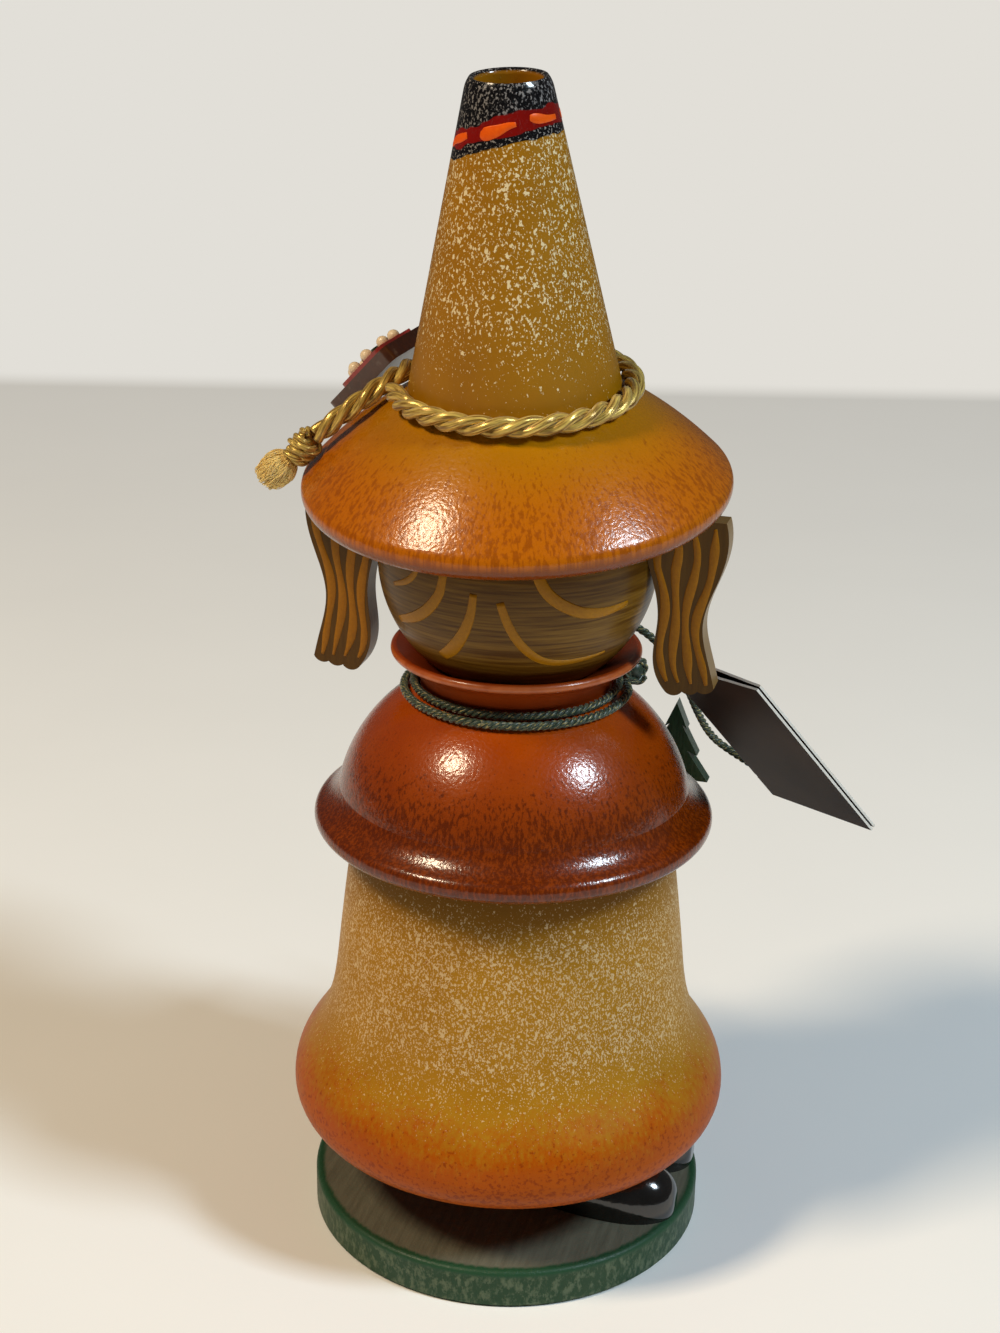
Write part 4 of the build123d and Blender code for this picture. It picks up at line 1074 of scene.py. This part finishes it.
def make_hat_dabs():
    flame = mark_finish("flame_paint", srgb(238, 102, 14), srgb(214, 70, 4))
    dabs = [
        [(20, 180.8, 1.0), (31, 181.7, 1.3), (43, 182.3, 1.4), (54, 182.9, 1.0)],
        [(72.6, 183.4, 0.9), (77, 183.4, 1.9), (85, 183.7, 2.0), (94, 184.1, 1.6), (104, 184.6, 1.1),
         (112.9, 184.8, 0.7)],
        [(129.3, 185.5, 0.8), (134, 185.4, 1.4), (142, 185.2, 1.5), (153.5, 185.0, 1.1),
         (169.5, 184.9, 0.8)],
    ]
    for start in DAB_STARTS:
        dab = []
        for share, width in ((0, 0.9), (0.15, 1.6), (0.4, 1.7), (0.7, 1.2), (1, 0.7)):
            azimuth = start + DAB_ARC * share
            lean = math.cos(math.radians(azimuth - BAND_AZIMUTH))
            dab.append((azimuth, DAB_HEIGHT + DAB_LEAN * lean, width))
        dabs.append(dab)
    strokes_piece("hat_dabs", dabs, on_cone, flame)


def make_hair_stripes():
    stripe = mark_finish("stripe_paint", srgb(164, 106, 0), srgb(134, 82, 0))
    for node in ("left_hair", "right_hair"):
        low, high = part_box(node)
        top = high.z / MM - STRIPE_TOP_GAP
        foot = low.z / MM + STRIPE_FOOT_GAP
        shape = bmesh.new()
        for outward in (-1, 1):
            for i, share in enumerate(STRIPES):
                marks = []
                for k in range(STRIPE_STEPS + 1):
                    width = STRIPE_WIDTH + STRIPE_SWELL * math.sin(0.9 * k + 2.1 * i)
                    taper = min(1.0, 0.35 + 0.3 * min(k, STRIPE_STEPS - k))
                    sway = STRIPE_SWAY * math.sin(0.75 * k + 1.7 * i)
                    height = top + (foot - top) * k / STRIPE_STEPS
                    marks.append((share + sway, height, width * taper))
                add_stroke(shape, marks, on_board(node, outward))
        upper_piece(node + "_stripes", shape, stripe)


# Stage


def fade_to_wall(paint):
    """Lets the camera see painted light that makes the floor paler with distance, and the floor go over
    softly into the wall.
    """
    away = paint.dot(paint.place, IMAGE_AWAY)
    # Painted light: the far floor is paled towards the wall's colour
    far_light = paint.times(paint.step(away, FLOOR_LIGHT_START, FLOOR_FAR), FLOOR_LIGHT_SHARE)
    edge = paint.step(away, FLOOR_FADE, FLOOR_FAR)
    far = paint.reckon("MAXIMUM", far_light, edge)
    seen = paint.add("ShaderNodeLightPath", {}).outputs["Is Camera Ray"]
    wall = paint.add("ShaderNodeEmission", {"Color": WALL, "Strength": 1.0}).outputs[0]
    values = {0: paint.times(far, seen), 1: paint.shader.outputs[0], 2: wall}
    both = paint.add("ShaderNodeMixShader", values).outputs[0]
    paint.fill(paint.tree.nodes["Material Output"].inputs["Surface"], both)


def make_stage():
    """Pale floor that ends a little way behind the figure."""
    shape = bmesh.new()
    rows = []
    for k in range(FLOOR_ROWS + 1):
        away = FLOOR_NEAR + (FLOOR_FAR - FLOOR_NEAR) * k / FLOOR_ROWS
        ends = (-FLOOR_HALF_WIDTH, FLOOR_HALF_WIDTH)
        rows.append([shape.verts.new(seen_at(right, away, 0)) for right in ends])
    for first, second in zip(rows, rows[1:]):
        shape.faces.new((first[0], first[1], second[1], second[0]))
    paint = Paint("stage")
    paper = paint.noise(size=60.0, detail=3.0)
    colour = paint.mix(paper, srgb(241, 240, 237), srgb(246, 245, 242))
    fibre = paint.noise(size=0.8, detail=2.0)
    floor = new_piece("floor", shape, paint.finish(colour, rough=0.8, relief=fibre, depth=0.01))
    fade_to_wall(paint)


def add_lamp(name, place, watts, colour):
    light = bpy.data.lights.new(name, "AREA")
    light.shape = "SQUARE"
    light.size = LAMP_SIZE * MM
    light.energy = watts
    light.color = colour[:3]
    lamp = bpy.data.objects.new(name, light)
    bpy.context.collection.objects.link(lamp)
    lamp.location = seen_at(*place)
    aim = UP * LAMP_AIM * MM - lamp.location
    lamp.rotation_euler = aim.to_track_quat("-Z", "Y").to_euler()


def light_stage():
    """Two lamps and a dim room, which the camera sees as a plain pale wall."""
    add_lamp("warm_lamp", WARM_LAMP, WARM_WATTS, WARM_LIGHT)
    add_lamp("cool_lamp", COOL_LAMP, COOL_WATTS, COOL_LIGHT)
    world = bpy.data.worlds.new("room")
    world.use_nodes = True
    nodes, links = world.node_tree.nodes, world.node_tree.links
    room = nodes["Background"]
    room.inputs["Color"].default_value = ROOM_LIGHT
    room.inputs["Strength"].default_value = ROOM_STRENGTH
    wall = nodes.new("ShaderNodeBackground")
    wall.inputs["Color"].default_value = WALL
    wall.inputs["Strength"].default_value = 1.0
    seen = nodes.new("ShaderNodeMixShader")
    links.new(nodes.new("ShaderNodeLightPath").outputs["Is Camera Ray"], seen.inputs[0])
    links.new(room.outputs[0], seen.inputs[1])
    links.new(wall.outputs[0], seen.inputs[2])
    links.new(seen.outputs[0], nodes["World Output"].inputs["Surface"])
    bpy.context.scene.world = world
    bpy.context.scene.view_settings.view_transform = "Standard"


def dress_solids():
    dress(hat_cone_finish(), "hat_cone")
    dress(brim_finish(), "hat_brim")
    dress(cape_finish(), "cape")
    dress(collar_finish(), "collar")
    dress(sleeve_finish(), "left_arm", "right_arm")
    dress(head_finish(), "head")
    dress(skin_finish("nose", srgb(232, 160, 120), srgb(214, 132, 96)), "nose")
    dress(hair_finish(), "left_hair", "right_hair")
    dress(skirt_finish(), "skirt")
    dress(base_finish(), "base")
    dress(black_finish(), "left_shoe", "right_shoe")
    dress(skin_finish("mitten", srgb(150, 146, 138), srgb(120, 116, 110)), "left_hand", "right_hand")
    dress(
        bare_wood_finish(),
        "left_leg",
        "right_leg",
        "incense_cup",
        "seat_ring",
        "neck_tube",
        "hair_pins",
        "tree_trunk",
    )
    dress(tree_finish(), "fir_tree")
    dress(tin_finish(), "incense_plate", "plate_nails")
    dress(chocolate_finish(), "hat_tile")
    dress(icing_finish("red_icing", srgb(176, 58, 50), srgb(132, 30, 28)), "tile_icing")
    dress(icing_finish("cream_icing", srgb(246, 230, 200), srgb(226, 196, 156)), "tile_beads")
    dress(icing_finish("green_icing", srgb(46, 74, 44), srgb(16, 36, 20)), "tile_leaves")
    dress(card_finish(), "hang_tag")


place_camera()
make_cords()
make_stage()
light_stage()
dress_solids()
make_head_marks()
make_hat_dabs()
make_hair_stripes()
